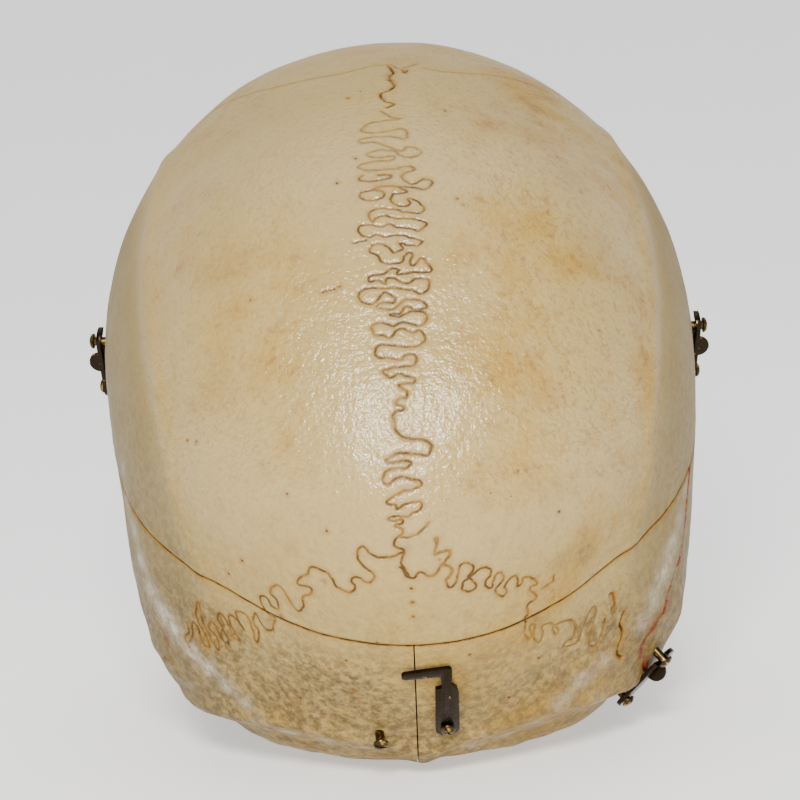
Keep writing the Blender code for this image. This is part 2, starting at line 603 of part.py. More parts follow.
def skull_cutters():
    """Every hollow of the skull that shows from outside."""
    cutters = [orbit_cutter(1), orbit_cutter(-1)]
    nose = [
        (0.0000, 0.0010), (0.0040, -0.0005), (0.0072, -0.0070), (0.0108, -0.0150), (0.0118, -0.0205),
        (0.0098, -0.0250), (0.0045, -0.0272), (0.0000, -0.0262),
    ]
    nose_outline = nose + [(-x, z) for x, z in reversed(nose[1:-1])]
    cutters.append(prism("nose_cutter", nose_outline, "xz", -0.120, -0.052))
    cutters.append(prism("choana_cutter", [
        (-0.0100, -0.0090), (0.0100, -0.0090), (0.0115, -0.0180), (0.0095, -0.0250), (-0.0095, -0.0250),
        (-0.0115, -0.0180),
    ], "xz", -0.054, -0.020))
    cutters.append(ellipsoid("palate_cutter", (0.0, -0.0660, -0.0430), (0.0185, 0.0210, 0.0120)))
    cutters.append(ellipsoid("palate_back_cutter", (0.0, -0.0500, -0.0440), (0.0180, 0.0180, 0.0130)))
    cutters.append(ellipsoid("great_hole_cutter", (0.0, 0.0220, -0.0240), (0.0150, 0.0180, 0.0220)))
    cutters += ellipsoid_pair("ear_cutter", (0.0620, -0.0010, -0.0050), (0.0130, 0.0040, 0.0048))
    socket = ((0.0495, -0.0118, -0.0060), (0.0130, 0.0080, 0.0085), (0, 0, -12))
    cutters += ellipsoid_pair("jaw_socket_cutter", *socket)
    cutters += ellipsoid_pair("jugular_cutter", (0.0255, 0.0060, -0.0240), (0.0050, 0.0045, 0.0070))
    cutters += ellipsoid_pair("carotid_cutter", (0.0270, -0.0060, -0.0240), (0.0032, 0.0035, 0.0070))
    cutters += ellipsoid_pair("oval_hole_cutter", (0.0235, -0.0240, -0.0100), (0.0026, 0.0038, 0.0070))
    cutters += both_sides(swept, "digastric_cutter", [
        (0.0385, 0.0320, -0.0200, 0.0026, 0.0045), (0.0390, 0.0200, -0.0215, 0.0026, 0.0050),
        (0.0400, 0.0080, -0.0235, 0.0024, 0.0045),
    ])
    canine_hollow = ((0.0270, -0.0900, -0.0165), (0.0090, 0.0075, 0.0080), (0, 0, 20))
    cutters += ellipsoid_pair("canine_hollow_cutter", *canine_hollow)
    return cutters


def nose_inside():
    """The septum and the lower shells in the nasal opening."""
    pieces = [box("septum", (-0.0016, -0.084, -0.028), (0.0016, -0.045, 0.003))]
    pieces += ellipsoid_pair("nose_shell", (0.0092, -0.0660, -0.0175), (0.0030, 0.0140, 0.0042))
    return pieces


def tooth_row(name, arch, widths, depths, necks, tips):
    """One row of teeth along its arch, from the midline to the last molar on both sides. The arch is the
    left half's middle line, and necks and tips are the heights at which each crown starts and ends."""
    line = smooth_path(arch, 12)
    lengths = np.r_[0, np.cumsum(np.linalg.norm(np.diff(line, axis=0), axis=1))]
    root = np.sign(necks[0] - tips[0]) * TOOTH_ROOT
    teeth = []
    start = GAP
    for width, depth, neck, tip in zip(widths, depths, necks, tips):
        middle = start + width / 2
        start += width
        place = [np.interp(middle, lengths, line[:, axis]) for axis in (0, 1)]
        ahead = [np.interp(middle + 0.002, lengths, line[:, axis]) for axis in (0, 1)]
        along = np.array((ahead[0] - place[0], ahead[1] - place[1], 0.0))
        along /= np.linalg.norm(along)
        across = np.array((-along[1], along[0], 0.0))
        blade = 0.34 if depth < 0.0072 else 0.62
        rings = []
        for share, wide, deep in ((None, 0.70, 0.76), (0.50, 0.96, 1.0), (1.0, 0.80, blade)):
            level = neck + root if share is None else neck + share * (tip - neck)
            ring = rounded_ring((*place, level), along * width / 2 * wide, across * depth / 2 * deep, 8, 3.0)
            rings.append(ring)
        teeth.append(skin(name, rings))
        teeth.append(skin(name, [ring * (-1, 1, 1) for ring in rings]))
    return joined(name, teeth)


def make_cranium():
    """The whole skull without its jaw, before it is parted."""
    vault = Vault()
    solid = joined("cranium", [vault.body(), *vault_details(vault), *face_pieces(), *base_pieces()])
    fuse(solid, CRANIUM_VOXEL, 3)
    for cutter in skull_cutters():
        boolean(solid, cutter)
        remove([cutter])
    solid = joined("cranium", [solid, *nose_inside()])
    fuse(solid, CRANIUM_VOXEL, 2)
    thin_out(solid, CRANIUM_TRIANGLES)
    teeth = tooth_row("upper_teeth", UPPER_ARCH, UPPER_WIDTHS, UPPER_DEPTHS, UPPER_NECKS, UPPER_TIPS)
    boolean(solid, teeth, "UNION")
    remove([teeth])
    return solid


def make_mandible():
    """The lower jaw with its teeth."""
    pieces = []
    pieces += both_sides(swept, "jaw_lower_rim", [
        (0.0000, -0.0830, -0.0862, 0.0065, 0.0065), (0.0140, -0.0800, -0.0850, 0.0065, 0.0065),
        (0.0275, -0.0660, -0.0768, 0.0058, 0.0058), (0.0365, -0.0480, -0.0677, 0.0052, 0.0052),
        (0.0440, -0.0300, -0.0590, 0.0050, 0.0050), (0.0478, -0.0160, -0.0535, 0.0042, 0.0045),
        (0.0490, -0.0070, -0.0430, 0.0038, 0.0042), (0.0490, -0.0060, -0.0320, 0.0035, 0.0038),
    ])
    pieces += both_sides(swept, "jaw_middle", [
        (0.0000, -0.0865, -0.0750, 0.0052, 0.0100), (0.0140, -0.0825, -0.0745, 0.0056, 0.0100),
        (0.0245, -0.0700, -0.0710, 0.0058, 0.0095), (0.0315, -0.0535, -0.0660, 0.0058, 0.0090),
        (0.0380, -0.0380, -0.0600, 0.0056, 0.0090), (0.0435, -0.0240, -0.0530, 0.0048, 0.0090),
    ])
    pieces += both_sides(swept, "jaw_tooth_bed", [
        (0.0000, -0.0885, -0.0655, 0.0046, 0.0085), (0.0130, -0.0845, -0.0660, 0.0050, 0.0085),
        (0.0205, -0.0750, -0.0655, 0.0054, 0.0085), (0.0258, -0.0600, -0.0640, 0.0058, 0.0080),
        (0.0300, -0.0440, -0.0610, 0.0058, 0.0075), (0.0350, -0.0320, -0.0560, 0.0050, 0.0070),
        (0.0420, -0.0260, -0.0500, 0.0040, 0.0070),
    ])
    pieces += both_sides(swept, "ramus", [
        (0.0455, -0.0170, -0.0560, 0.0042, 0.0120), (0.0472, -0.0205, -0.0430, 0.0038, 0.0160),
        (0.0480, -0.0230, -0.0300, 0.0034, 0.0165), (0.0480, -0.0240, -0.0215, 0.0030, 0.0145),
    ], up=(0.0, -1.0, 0.0), squareness=3.0)
    pieces += both_sides(swept, "coronoid", [
        (0.0475, -0.0320, -0.0270, 0.0030, 0.0075), (0.0468, -0.0340, -0.0170, 0.0024, 0.0055),
        (0.0460, -0.0360, -0.0090, 0.0016, 0.0024),
    ], up=(0.0, -1.0, 0.0))
    pieces += both_sides(swept, "jaw_neck", [
        (0.0485, -0.0150, -0.0270, 0.0032, 0.0075), (0.0492, -0.0130, -0.0170, 0.0045, 0.0048),
        (0.0495, -0.0120, -0.0105, 0.0072, 0.0040),
    ], up=(0.0, -1.0, 0.0))
    pieces += ellipsoid_pair("jaw_head", (0.0495, -0.0117, -0.0080), (0.0092, 0.0042, 0.0042), (0, 0, -10))
    pieces.append(ellipsoid("chin_knob", (0.0, -0.0875, -0.0850), (0.0105, 0.0048, 0.0068)))
    pieces += ellipsoid_pair("chin_corner", (0.0135, -0.0835, -0.0880), (0.0070, 0.0050, 0.0045))
    solid = joined("mandible", pieces)
    fuse(solid, JAW_VOXEL, 3)
    thin_out(solid, JAW_TRIANGLES)
    teeth = tooth_row("lower_teeth", LOWER_ARCH, LOWER_WIDTHS, LOWER_DEPTHS, LOWER_NECKS, LOWER_TIPS)
    boolean(solid, teeth, "UNION")
    remove([teeth])
    return solid


def cap_saw(y):
    """The height of the level saw cut that frees the skull cap."""
    return CAP_SAW_HEIGHT + CAP_SAW_RISE * (CAP_SAW_BACK - y)


def midline_saw(y):
    """Where the upright saw cut through the base lies: between the front teeth, a little left behind."""
    return 0.00015 + 0.0109 * (y + 0.0935)


def on_side(prisms, side):
    """The prisms as given for the left side, or mirrored for the right."""
    placed = []
    for outline, plane, low, high in prisms:
        if plane == "yz":
            low, high = sorted((low * side, high * side))
        else:
            outline = [(x * side, other) for x, other in outline]
        placed.append((outline, plane, low, high))
    return placed


def region(prisms, grow=0.0):
    """One closed body from a few overlapping prisms."""
    body, *others = [prism("region", *form, grow=grow) for form in prisms]
    for other in others:
        boolean(body, other, "UNION")
    remove(others)
    return body


def carve(body, name, prisms, gap=GAP):
    """Parts off what lies inside the prisms as a bone of its own, and takes it and the gap off the body."""
    piece = copy_of(body, name)
    inside, grown = region(prisms), region(prisms, gap)
    boolean(piece, inside, "INTERSECT")
    boolean(body, grown)
    remove([inside, grown])
    return piece


def part_cap(cap):
    """The skull cap's four bones."""
    bones = [
        carve(cap, "frontal_cap", [(CORONAL_FRONT, "yz", -0.09, 0.09)]),
        carve(cap, "occipital_cap", [(LAMBDOID_CAP, "xz", 0.040, 0.120)]),
    ]
    half = [(SAGITTAL_SUTURE, -0.12), (0.12, -0.12), (0.12, 0.12), (SAGITTAL_SUTURE, 0.12)]
    bones.append(carve(cap, "parietal_cap_left", [(half, "xy", 0.0, 0.15)]))
    cap.name = "parietal_cap_right"
    return [*bones, cap]


def part_base_half(half, side):
    """The bones of one half of the base. On the right the ear bone is sawn out as a block of its own."""
    name = "left" if side > 0 else "right"
    bones = []
    for bone, prisms in (
        ("frontal", [(FRONTAL_BASE, "yz", -0.001, 0.09)]),
        ("zygomatic", [
            (ZYGOMATIC_OUTLINE, "xy", -0.035, FACE_SUTURE),
            (ARCH_OUTLINE, "xy", -0.030, 0.0045),
        ]),
        ("nasal", [(NASAL_OUTLINE, "xz", -0.120, -0.0835)]),
        ("maxilla", [(MAXILLA_OUTLINE, "yz", -0.004, 0.0370)]),
        ("sphenoid", [(SPHENOID_OUTLINE, "yz", -0.004, 0.0608)]),
    ):
        bones.append(carve(half, f"{bone}_{name}", on_side(prisms, side)))
    if side > 0:
        temporal = TEMPORAL_FRONT + SQUAMOSAL + MASTOID_BACK
        bones.append(carve(half, "temporal_left", [(temporal, "yz", 0.026, 0.09)]))
        bones.append(carve(half, "parietal_left", [(PARIETAL_CORNER, "xz", -0.06, 0.13)]))
    else:
        block = carve(half, "parietal_right", [(BLOCK_OUTLINE, "yz", -0.09, -0.028)], gap=BLOCK_SAW_GAP)
        below = TEMPORAL_FRONT + SQUAMOSAL + [(0.080, 0.004), (0.080, -0.060)]
        bones.append(carve(block, "temporal_right", [(below, "yz", -0.10, -0.02)]))
        bones.append(block)
        corner = on_side([(PARIETAL_CORNER, "xz", -0.06, 0.13)], side)
        bones.append(carve(half, "parietal_corner_right", corner))
    half.name = f"occipital_{name}"
    return [*bones, half]


def turned(name, profile, sides=10):
    """A turned piece on the z axis from its radius and height pairs."""
    rings = [rounded_ring((0, 0, z), (radius, 0, 0), (0, radius, 0), sides) for radius, z in profile]
    return skin(name, rings)


def arc(centre, radius, start, end, steps):
    """Points on an arc between two angles in degrees."""
    angles = np.radians(np.linspace(start, end, steps))
    return [(centre[0] + radius * math.cos(a), centre[1] + radius * math.sin(a)) for a in angles]


def catch_outline(length):
    """A short hook plate seen from outside: a round end at the screw, and a claw round the post."""
    slot = POST_RADIUS + GAP
    outline = arc((0, 0), HOOK_HALF_WIDTH, 90, 270, 7)
    outline += arc((length, 0), HOOK_HALF_WIDTH + 0.0009, -90, 40, 7)
    outline += arc((length, 0), slot, 15, -180, 8)
    outline += [(length - slot, HOOK_HALF_WIDTH - 0.0004)]
    return outline


def other_catch(length):
    """The same short plate for the skull's right side."""
    return [(u, -v) for u, v in catch_outline(length)]


def swung_outline(length):
    """The long hook plate at the back: its arm stands out at the end, now swung away from its post."""
    wide = LONG_PLATE_HALF_WIDTH
    outline = arc((0, 0), wide, 120, 240, 6)
    outline += [(length - 0.001, -wide), (length, -wide + 0.001), (length + 0.0012, wide + 0.0062)]
    outline += [(length - 0.0004, wide + 0.0068), (length - 0.0012, wide + 0.0004), (length - 0.0030, wide)]
    return outline


def make_hook(name, tree, screw, end, post, outline, tab_at):
    """One hook latch on the bone, and the cutters for the holes of its screw and its post. The plate lies
    along the line from screw to end, as far out as the bone under it needs."""
    outward = (Vector(screw) + Vector(end)) / 2 - Vector(VAULT_CENTRE)
    outward.normalize()

    def seated(point):
        start = Vector(point) + outward * 0.03
        return tree.ray_cast(start, -outward)[0]

    foot, head = seated(screw), seated(end)
    along = (head - foot).normalized()
    across = outward.cross(along).normalized()
    outward = along.cross(across)
    frame = Matrix((along, across, outward)).transposed().to_4x4()
    frame.translation = foot
    length = (head - foot).length
    form = outline(length)
    heights = []
    middle = [(length * share, 0.0) for share in (0.0, 0.2, 0.4, 0.6, 0.8, 1.0)]
    for u, v in form + [(u, v * 0.6) for u, v in form] + middle:
        hit = tree.ray_cast(frame @ Vector((u, v, 0.03)), -outward)[0]
        if hit:
            heights.append((frame.inverted() @ hit).z)
    low = max(heights) + 1.5 * GAP
    top = low + HOOK_THICKNESS

    plate = prism(f"{name}_plate", form, "xy", low, top)
    if tab_at:
        share, offset = tab_at
        middle_of_tab = length * share
        tab = [(middle_of_tab - TAB_RADIUS, low + 0.0003)]
        tab += arc((middle_of_tab, top), TAB_RADIUS, 180, 0, 9)
        tab.append((middle_of_tab + TAB_RADIUS, low + 0.0003))
        tab_piece = prism("tab", tab, "xz", offset - 0.00045, offset + 0.00045)
        boolean(plate, tab_piece, "UNION")
        remove([tab_piece])
    hole = turned("hole", [(SCREW_RADIUS + GAP, low - 0.002), (SCREW_RADIUS + GAP, top + 0.002)])
    boolean(plate, hole)
    remove([hole])

    under_head = top + GAP
    screw_body = turned(f"{name}_screw", [
        (SCREW_RADIUS, -SCREW_DEPTH), (SCREW_RADIUS, under_head), (0.00165, under_head),
        (0.00155, under_head + 0.0005), (0.0009, under_head + 0.0010),
    ])
    post_seat = frame.inverted() @ seated(post)
    post_top = max(post_seat.z + 0.0030, 0.0 if outline is swung_outline else under_head)
    post_body = turned(f"{name}_post", [
        (POST_RADIUS, post_seat.z - SCREW_DEPTH), (POST_RADIUS, post_top), (0.0018, post_top),
        (0.0018, post_top + 0.0006), (0.0011, post_top + 0.0013),
    ])
    cutters = [
        turned("screw_hole", [(SCREW_RADIUS + GAP, -SCREW_DEPTH - GAP), (SCREW_RADIUS + GAP, 0.004)]),
        turned("post_hole", [
            (POST_RADIUS + GAP, post_seat.z - SCREW_DEPTH - GAP), (POST_RADIUS + GAP, post_seat.z + 0.004),
        ]),
    ]
    shift = Matrix.Translation((post_seat.x, post_seat.y, 0.0))
    for piece in (post_body, cutters[1]):
        piece.data.transform(shift)
    for piece in (plate, screw_body, post_body, *cutters):
        piece.data.transform(frame)
    return [plate, screw_body, post_body], cutters


def make_hooks(cranium):
    """The four hook latches: one each side of the cap, one at the back and one on the ear block."""
    tree = BVHTree.FromPolygons(
        [v.co for v in cranium.data.vertices], [list(face.vertices) for face in cranium.data.polygons]
    )
    hooks, holes = [], []
    for settings in (
        ("left_hook", LEFT_HOOK_SCREW, LEFT_HOOK_POST, LEFT_HOOK_POST, catch_outline, (0.62, -0.0017)),
        ("right_hook", RIGHT_HOOK_SCREW, RIGHT_HOOK_POST, RIGHT_HOOK_POST, other_catch, (0.62, 0.0017)),
        ("back_hook", BACK_HOOK_SCREW, BACK_HOOK_END, BACK_HOOK_POST, swung_outline, None),
        ("block_hook", BLOCK_HOOK_SCREW, BLOCK_HOOK_POST, BLOCK_HOOK_POST, catch_outline, (0.70, -0.0017)),
    ):
        pieces, cutters = make_hook(settings[0], tree, *settings[1:])
        hooks.append(pieces)
        holes += cutters
    drill = joined("drill", holes)
    boolean(cranium, drill)
    remove([drill])
    return hooks


def cut_flats(body, pose):
    """Takes off what would reach below the floor in the skull's rest pose."""
    floor = box("floor_cutter", (-0.2, -0.2, -0.1), (0.2, 0.2, 0.0))
    floor.data.transform(pose.inverted())
    boolean(body, floor)
    remove([floor])


def main():
    for old in list(bpy.data.objects):
        bpy.data.objects.remove(old)
    pose = Matrix.Translation(EAR_POINT_IN_WORLD) @ Matrix.Rotation(-REST_PITCH, 4, "X")

    cranium = make_cranium()
    hooks = make_hooks(cranium)
    mandible = make_mandible()
    for body in (cranium, mandible):
        cut_flats(body, pose)

    above = [(0.15, cap_saw(0.15)), (0.15, 0.2), (-0.15, 0.2), (-0.15, cap_saw(-0.15))]
    cap = carve(cranium, "cap", [(above, "yz", -0.1, 0.1)])
    left = [(midline_saw(-0.13), -0.13), (0.12, -0.13), (0.12, 0.13), (midline_saw(0.13), 0.13)]
    left_half = carve(cranium, "left_half", [(left, "xy", -0.08, 0.08)])
    bones = [*part_cap(cap), *part_base_half(left_half, 1), *part_base_half(cranium, -1), mandible]

    bone, brass = material("bone", BONE_COLOUR, 0.4), material("hook_brass", BRASS_COLOUR, 0.35, 1.0)
    post_brass = material("post_brass", POST_COLOUR, 0.3, 1.0)
    rest = bpy.data.objects.new("rest_pose", None)
    rest.matrix_world = pose
    bpy.context.scene.collection.objects.link(rest)
    for piece in bones:
        piece.data.materials.clear()
        piece.data.materials.append(bone)
    for plate, *pins in hooks:
        plate.data.materials.append(brass)
        for pin in pins:
            pin.data.materials.append(post_brass)
    for piece in (*bones, *[piece for hook in hooks for piece in hook]):
        piece.parent = rest


main()
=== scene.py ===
"""A life-size dissected human skull, set down on its chin and occiput and seen from above and behind.

All bone is shaped in an upright frame, with the ear-eye plane level: x runs to the skull's left, y to its back
and z up, from a point midway between the ear openings. Each finished piece is then tipped back into its rest
pose. The vault is one smooth surface through named skull points. The sutures are drawn as they are seen from
the camera, laid on that surface and cut into a finer mesh.
"""
import logging
import math
from dataclasses import dataclass, field
from enum import Enum
from typing import Callable, Iterable, Sequence

import bmesh
import bpy
import numpy as np
from mathutils import Matrix, Vector, kdtree, noise
from mathutils.bvhtree import BVHTree


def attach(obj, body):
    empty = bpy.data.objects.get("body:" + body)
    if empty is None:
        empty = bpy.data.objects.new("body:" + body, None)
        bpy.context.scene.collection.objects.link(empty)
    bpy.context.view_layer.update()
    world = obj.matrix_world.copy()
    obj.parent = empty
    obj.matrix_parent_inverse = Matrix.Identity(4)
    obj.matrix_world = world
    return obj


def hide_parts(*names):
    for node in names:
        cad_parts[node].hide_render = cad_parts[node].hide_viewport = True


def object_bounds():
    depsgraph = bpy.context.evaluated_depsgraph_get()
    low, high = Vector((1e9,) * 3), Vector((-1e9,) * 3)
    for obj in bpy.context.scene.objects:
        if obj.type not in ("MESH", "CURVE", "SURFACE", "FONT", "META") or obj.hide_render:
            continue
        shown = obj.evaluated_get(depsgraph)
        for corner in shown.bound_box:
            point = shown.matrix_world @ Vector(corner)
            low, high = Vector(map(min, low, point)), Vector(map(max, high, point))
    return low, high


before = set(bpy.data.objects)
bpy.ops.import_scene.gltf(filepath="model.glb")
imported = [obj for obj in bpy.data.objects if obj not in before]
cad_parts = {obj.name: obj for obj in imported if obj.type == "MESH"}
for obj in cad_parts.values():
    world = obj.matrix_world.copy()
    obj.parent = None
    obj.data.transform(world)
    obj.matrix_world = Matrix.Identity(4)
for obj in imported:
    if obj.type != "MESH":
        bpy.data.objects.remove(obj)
CAD_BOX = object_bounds()

log = logging.getLogger("skull")
Point = Sequence[float]
Colour = tuple[float, ...]
Array, Body, Socket = np.ndarray, bpy.types.Object, bpy.types.NodeSocket
GAP = 0.0003
VAULT_MIDDLE = (0.0, 0.0, 0.045)
WHITE = (1.0, 1.0, 1.0, 1.0)
PAPER = (0.96, 0.96, 0.955, 1.0)
FORWARD = (0.0, -1.0, 0.0)
BACKWARD = (0.0, 1.0, 0.0)


class Side(Enum):
    """The two sides of the skull, with the sign of x on each."""

    LEFT = 1
    RIGHT = -1


@dataclass(frozen=True)
class RestPose:
    """How the upright skull is set down on the floor."""

    pitch: float = math.radians(27.5)
    ear_point: tuple[float, float, float] = (0.0, 0.0068, 0.0443)

    def matrix(self) -> Matrix:
        """The upright frame's place in the world."""
        return Matrix.Translation(self.ear_point) @ Matrix.Rotation(-self.pitch, 4, "X")


POSE = RestPose().matrix()


class Bench:
    """The workbench: the few steps of Blender that every piece is made with."""

    @staticmethod
    def pick(*objects: Body) -> None:
        """Selects only these objects, and makes the first one active."""
        bpy.ops.object.select_all(action="DESELECT")
        for thing in objects:
            thing.select_set(True)
        bpy.context.view_layer.objects.active = objects[0]

    @staticmethod
    def named(name: str) -> Body:
        """Gives the active object its name."""
        made = bpy.context.object
        made.name = name
        made.data.name = name
        return made

    @staticmethod
    def body(name: str, vertices: Array, faces: list[list[int]]) -> Body:
        """A mesh object from points and faces, its faces turned outwards."""
        mesh = bpy.data.meshes.new(name)
        mesh.from_pydata([tuple(map(float, v)) for v in vertices], [], faces)
        made = bpy.data.objects.new(name, mesh)
        bpy.context.scene.collection.objects.link(made)
        work = bmesh.new()
        work.from_mesh(mesh)
        bmesh.ops.recalc_face_normals(work, faces=work.faces)
        work.to_mesh(mesh)
        work.free()
        return made

    @classmethod
    def join(cls, name: str, objects: Sequence[Body]) -> Body:
        """Joins the objects into one mesh, without melting their surfaces together."""
        cls.pick(*objects)
        if len(objects) > 1:
            bpy.ops.object.join()
        return cls.named(name)

    @classmethod
    def modify(cls, target: Body, kind: str, **settings: object) -> Body:
        """Adds a modifier with its settings and applies it."""
        cls.pick(target)
        step = target.modifiers.new(kind.lower(), kind)
        for key, value in settings.items():
            setattr(step, key, value)
        bpy.ops.object.modifier_apply(modifier=step.name)
        return target

    @classmethod
    def cut(cls, target: Body, tool: Body, operation: str = "DIFFERENCE") -> Body:
        """Cuts the target with a tool that isn't needed again."""
        cls.modify(target, "BOOLEAN", operation=operation, object=tool, solver="MANIFOLD")
        bpy.data.objects.remove(tool)
        return target

    @classmethod
    def melt(cls, target: Body, voxel: float, smoothing: int) -> None:
        """Melts overlapping bodies into one soft surface."""
        cls.modify(target, "REMESH", mode="VOXEL", voxel_size=voxel)
        cls.modify(target, "SMOOTH", factor=0.5, iterations=smoothing)

    @classmethod
    def copy(cls, source: Body, name: str) -> Body:
        """A copy with a mesh of its own."""
        cls.pick(source)
        bpy.ops.object.duplicate()
        return cls.named(name)

    @staticmethod
    def points(target: Body) -> Array:
        """The mesh's vertex positions, one row each."""
        rows = np.empty(len(target.data.vertices) * 3)
        target.data.vertices.foreach_get("co", rows)
        return rows.reshape(-1, 3)

    @staticmethod
    def set_points(target: Body, rows: Array) -> None:
        """Moves the mesh's vertices to these positions."""
        target.data.vertices.foreach_set("co", np.asarray(rows, float).ravel())
        target.data.update()

    @staticmethod
    def paint(target: Body, name: str, values: Array) -> None:
        """Stores one value for each vertex, for the material to read."""
        layer = target.data.attributes.new(name, "FLOAT", "POINT")
        layer.data.foreach_set("value", np.asarray(values, np.float32))

    @staticmethod
    def largest(target: Body) -> None:
        """Keeps only the surface with the most vertices."""
        work = bmesh.new()
        work.from_mesh(target.data)
        left = set(work.verts)
        bodies = []
        while left:
            edge = [left.pop()]
            body = list(edge)
            while edge:
                for link in edge.pop().link_edges:
                    for other in link.verts:
                        if other in left:
                            left.remove(other)
                            body.append(other)
                            edge.append(other)
            bodies.append(body)
        bodies.sort(key=len, reverse=True)
        dropped = [vertex for body in bodies[1:] for vertex in body]
        if dropped:
            bmesh.ops.delete(work, geom=dropped, context="VERTS")
            work.to_mesh(target.data)
        work.free()


def from_mm(rows: Iterable[Point]) -> Array:
    """Rows of millimetres, in metres, to the last tenth of a micron."""
    return np.round(np.array(list(rows), float) / 1000, 7)


def smooth_path(stations: Iterable[Point], steps: int) -> Array:
    """A smooth curve through rows of numbers.

    Args:
        stations: the rows that the curve passes through.
        steps: how many steps it takes between two of them.

    Returns:
        The rows of the finer curve.
    """
    rows = np.array(list(stations), float)
    ends = np.vstack((2 * rows[0] - rows[1], rows, 2 * rows[-1] - rows[-2]))
    a, b, c, d = (ends[i : len(ends) - 3 + i, None] for i in range(4))
    t = (np.arange(steps) / steps)[None, :, None]
    curve = 0.5 * (2 * b + (c - a) * t + (2 * a - 5 * b + 4 * c - d) * t**2 + (3 * b - a - 3 * c + d) * t**3)
    return np.vstack((curve.reshape(-1, rows.shape[1]), rows[-1:]))


def lengths_along(rows: Array) -> Array:
    """How far along the line each of its points lies."""
    return np.r_[0, np.cumsum(np.linalg.norm(np.diff(rows, axis=0), axis=1))]


def spaced(rows: Array, lengths: Array, places: Array) -> Array:
    """The line's rows at other places along it."""
    return np.stack([np.interp(places, lengths, rows[:, axis]) for axis in range(rows.shape[1])], 1)


def unit(way: Array) -> Array:
    """The same way with a length of one."""
    return way / np.linalg.norm(way)


def fade(values: float | Array, start: float, end: float) -> float | Array:
    """A share that runs straight from 0 at the start to 1 at the end."""
    return np.clip((values - start) / (end - start), 0, 1)


def bell(*terms: tuple[Array, float, float]) -> Array:
    """A bell curve over values, each given with its middle and its width."""
    return np.exp(-sum(((values - middle) / width) ** 2 for values, middle, width in terms))


def ring(centre: Point, across: Point, upright: Point, sides: int, squareness: float = 2.0) -> Array:
    """A ring of points: an ellipse, or squarer where squareness passes 2."""
    turn = 2 * np.pi * np.arange(sides) / sides
    u = np.sign(np.cos(turn)) * np.abs(np.cos(turn)) ** (2 / squareness)
    v = np.sign(np.sin(turn)) * np.abs(np.sin(turn)) ** (2 / squareness)
    return np.array(centre, float) + u[:, None] * np.array(across) + v[:, None] * np.array(upright)


def loft(name: str, rings: Sequence[Array]) -> Body:
    """A closed body stretched over a row of rings, with flat ends."""
    sides = len(rings[0])
    vertices = np.vstack(rings)
    faces = [list(range(sides)), list(range(len(vertices) - 1, len(vertices) - sides - 1, -1))]
    for row in range(len(rings) - 1):
        for i in range(sides):
            j = (i + 1) % sides
            faces.append([row * sides + i, row * sides + j, (row + 1) * sides + j, (row + 1) * sides + i])
    return Bench.body(name, vertices, faces)


def bar(
    name: str,
    stations: Iterable[Point],
    sides: int = 20,
    up: Point = (0.0, 0.0, 1.0),
    squareness: float = 2.0,
) -> Body:
    """A bar along a smooth path.

    Args:
        name: the object's name.
        stations: rows of x, y, z, half thickness and half height, in millimetres.
        sides: how many sides each ring has.
        up: the way the half height points.
        squareness: 2 for an ellipse, more for a squarer ring.

    Returns:
        The closed bar.
    """
    rows = smooth_path(from_mm(stations), 6)
    tangents = np.gradient(rows[:, :3], axis=0)
    rings = []
    for row, tangent in zip(rows, tangents):
        tangent = unit(tangent)
        across = unit(np.cross(tangent, up))
        upright = np.cross(across, tangent)
        rings.append(ring(row[:3], across * row[3], upright * row[4], sides, squareness))
    return loft(name, rings)


def mirrored(point: Point) -> Point:
    """The same point on the skull's other side."""
    return (-point[0], *point[1:])


def bars(name: str, stations: Sequence[Point], **more: object) -> list[Body]:
    """The same bar on both sides."""
    return [bar(f"{name}_left", stations, **more), bar(f"{name}_right", [mirrored(s) for s in stations], **more)]


def knob(name: str, centre: Point, radii: Point, turn: Point = (0, 0, 0)) -> Body:
    """An ellipsoid at its place in millimetres, turned by three angles in degrees."""
    centre, radii = from_mm((centre, radii)).tolist()
    bpy.ops.mesh.primitive_uv_sphere_add(
        segments=36, ring_count=18, radius=1.0, location=centre, rotation=[math.radians(a) for a in turn], scale=radii
    )
    bpy.ops.object.transform_apply(location=True, rotation=True, scale=True)
    return Bench.named(name)


def knobs(name: str, centre: Point, radii: Point, turn: Point = (0, 0, 0)) -> list[Body]:
    """The same ellipsoid on both sides."""
    return [
        knob(f"{name}_left", centre, radii, turn),
        knob(f"{name}_right", mirrored(centre), radii, (turn[0], -turn[1], -turn[2])),
    ]


def prism(
    name: str, outline: Sequence[Point], plane: str, low: float, high: float, grow: float = 0.0
) -> Body:
    """A straight prism over an outline.

    Args:
        name: the object's name.
        outline: the outline's corners.
        plane: the outline's two axes, such as "yz".
        low: the lower end along the third axis.
        high: the upper end along it.
        grow: how far every side is pushed out.

    Returns:
        The closed prism.
    """
    points = np.array(outline, float)
    following = np.roll(points, -1, axis=0)
    if (points[:, 0] * following[:, 1] - following[:, 0] * points[:, 1]).sum() < 0:
        points = points[::-1]
    if grow:
        before, after = points - np.roll(points, 1, axis=0), np.roll(points, -1, axis=0) - points
        normals = [np.stack((e[:, 1], -e[:, 0]), 1) / np.linalg.norm(e, axis=1)[:, None] for e in (before, after)]
        bisector = normals[0] + normals[1]
        points = points + grow * 2 * bisector / (bisector**2).sum(1)[:, None]
    axes = ["xyz".index(letter) for letter in plane]
    rings = []
    for level in (low - grow, high + grow):
        corners = np.zeros((len(points), 3))
        corners[:, axes] = points
        corners[:, 3 - sum(axes)] = level
        rings.append(corners)
    return loft(name, rings)


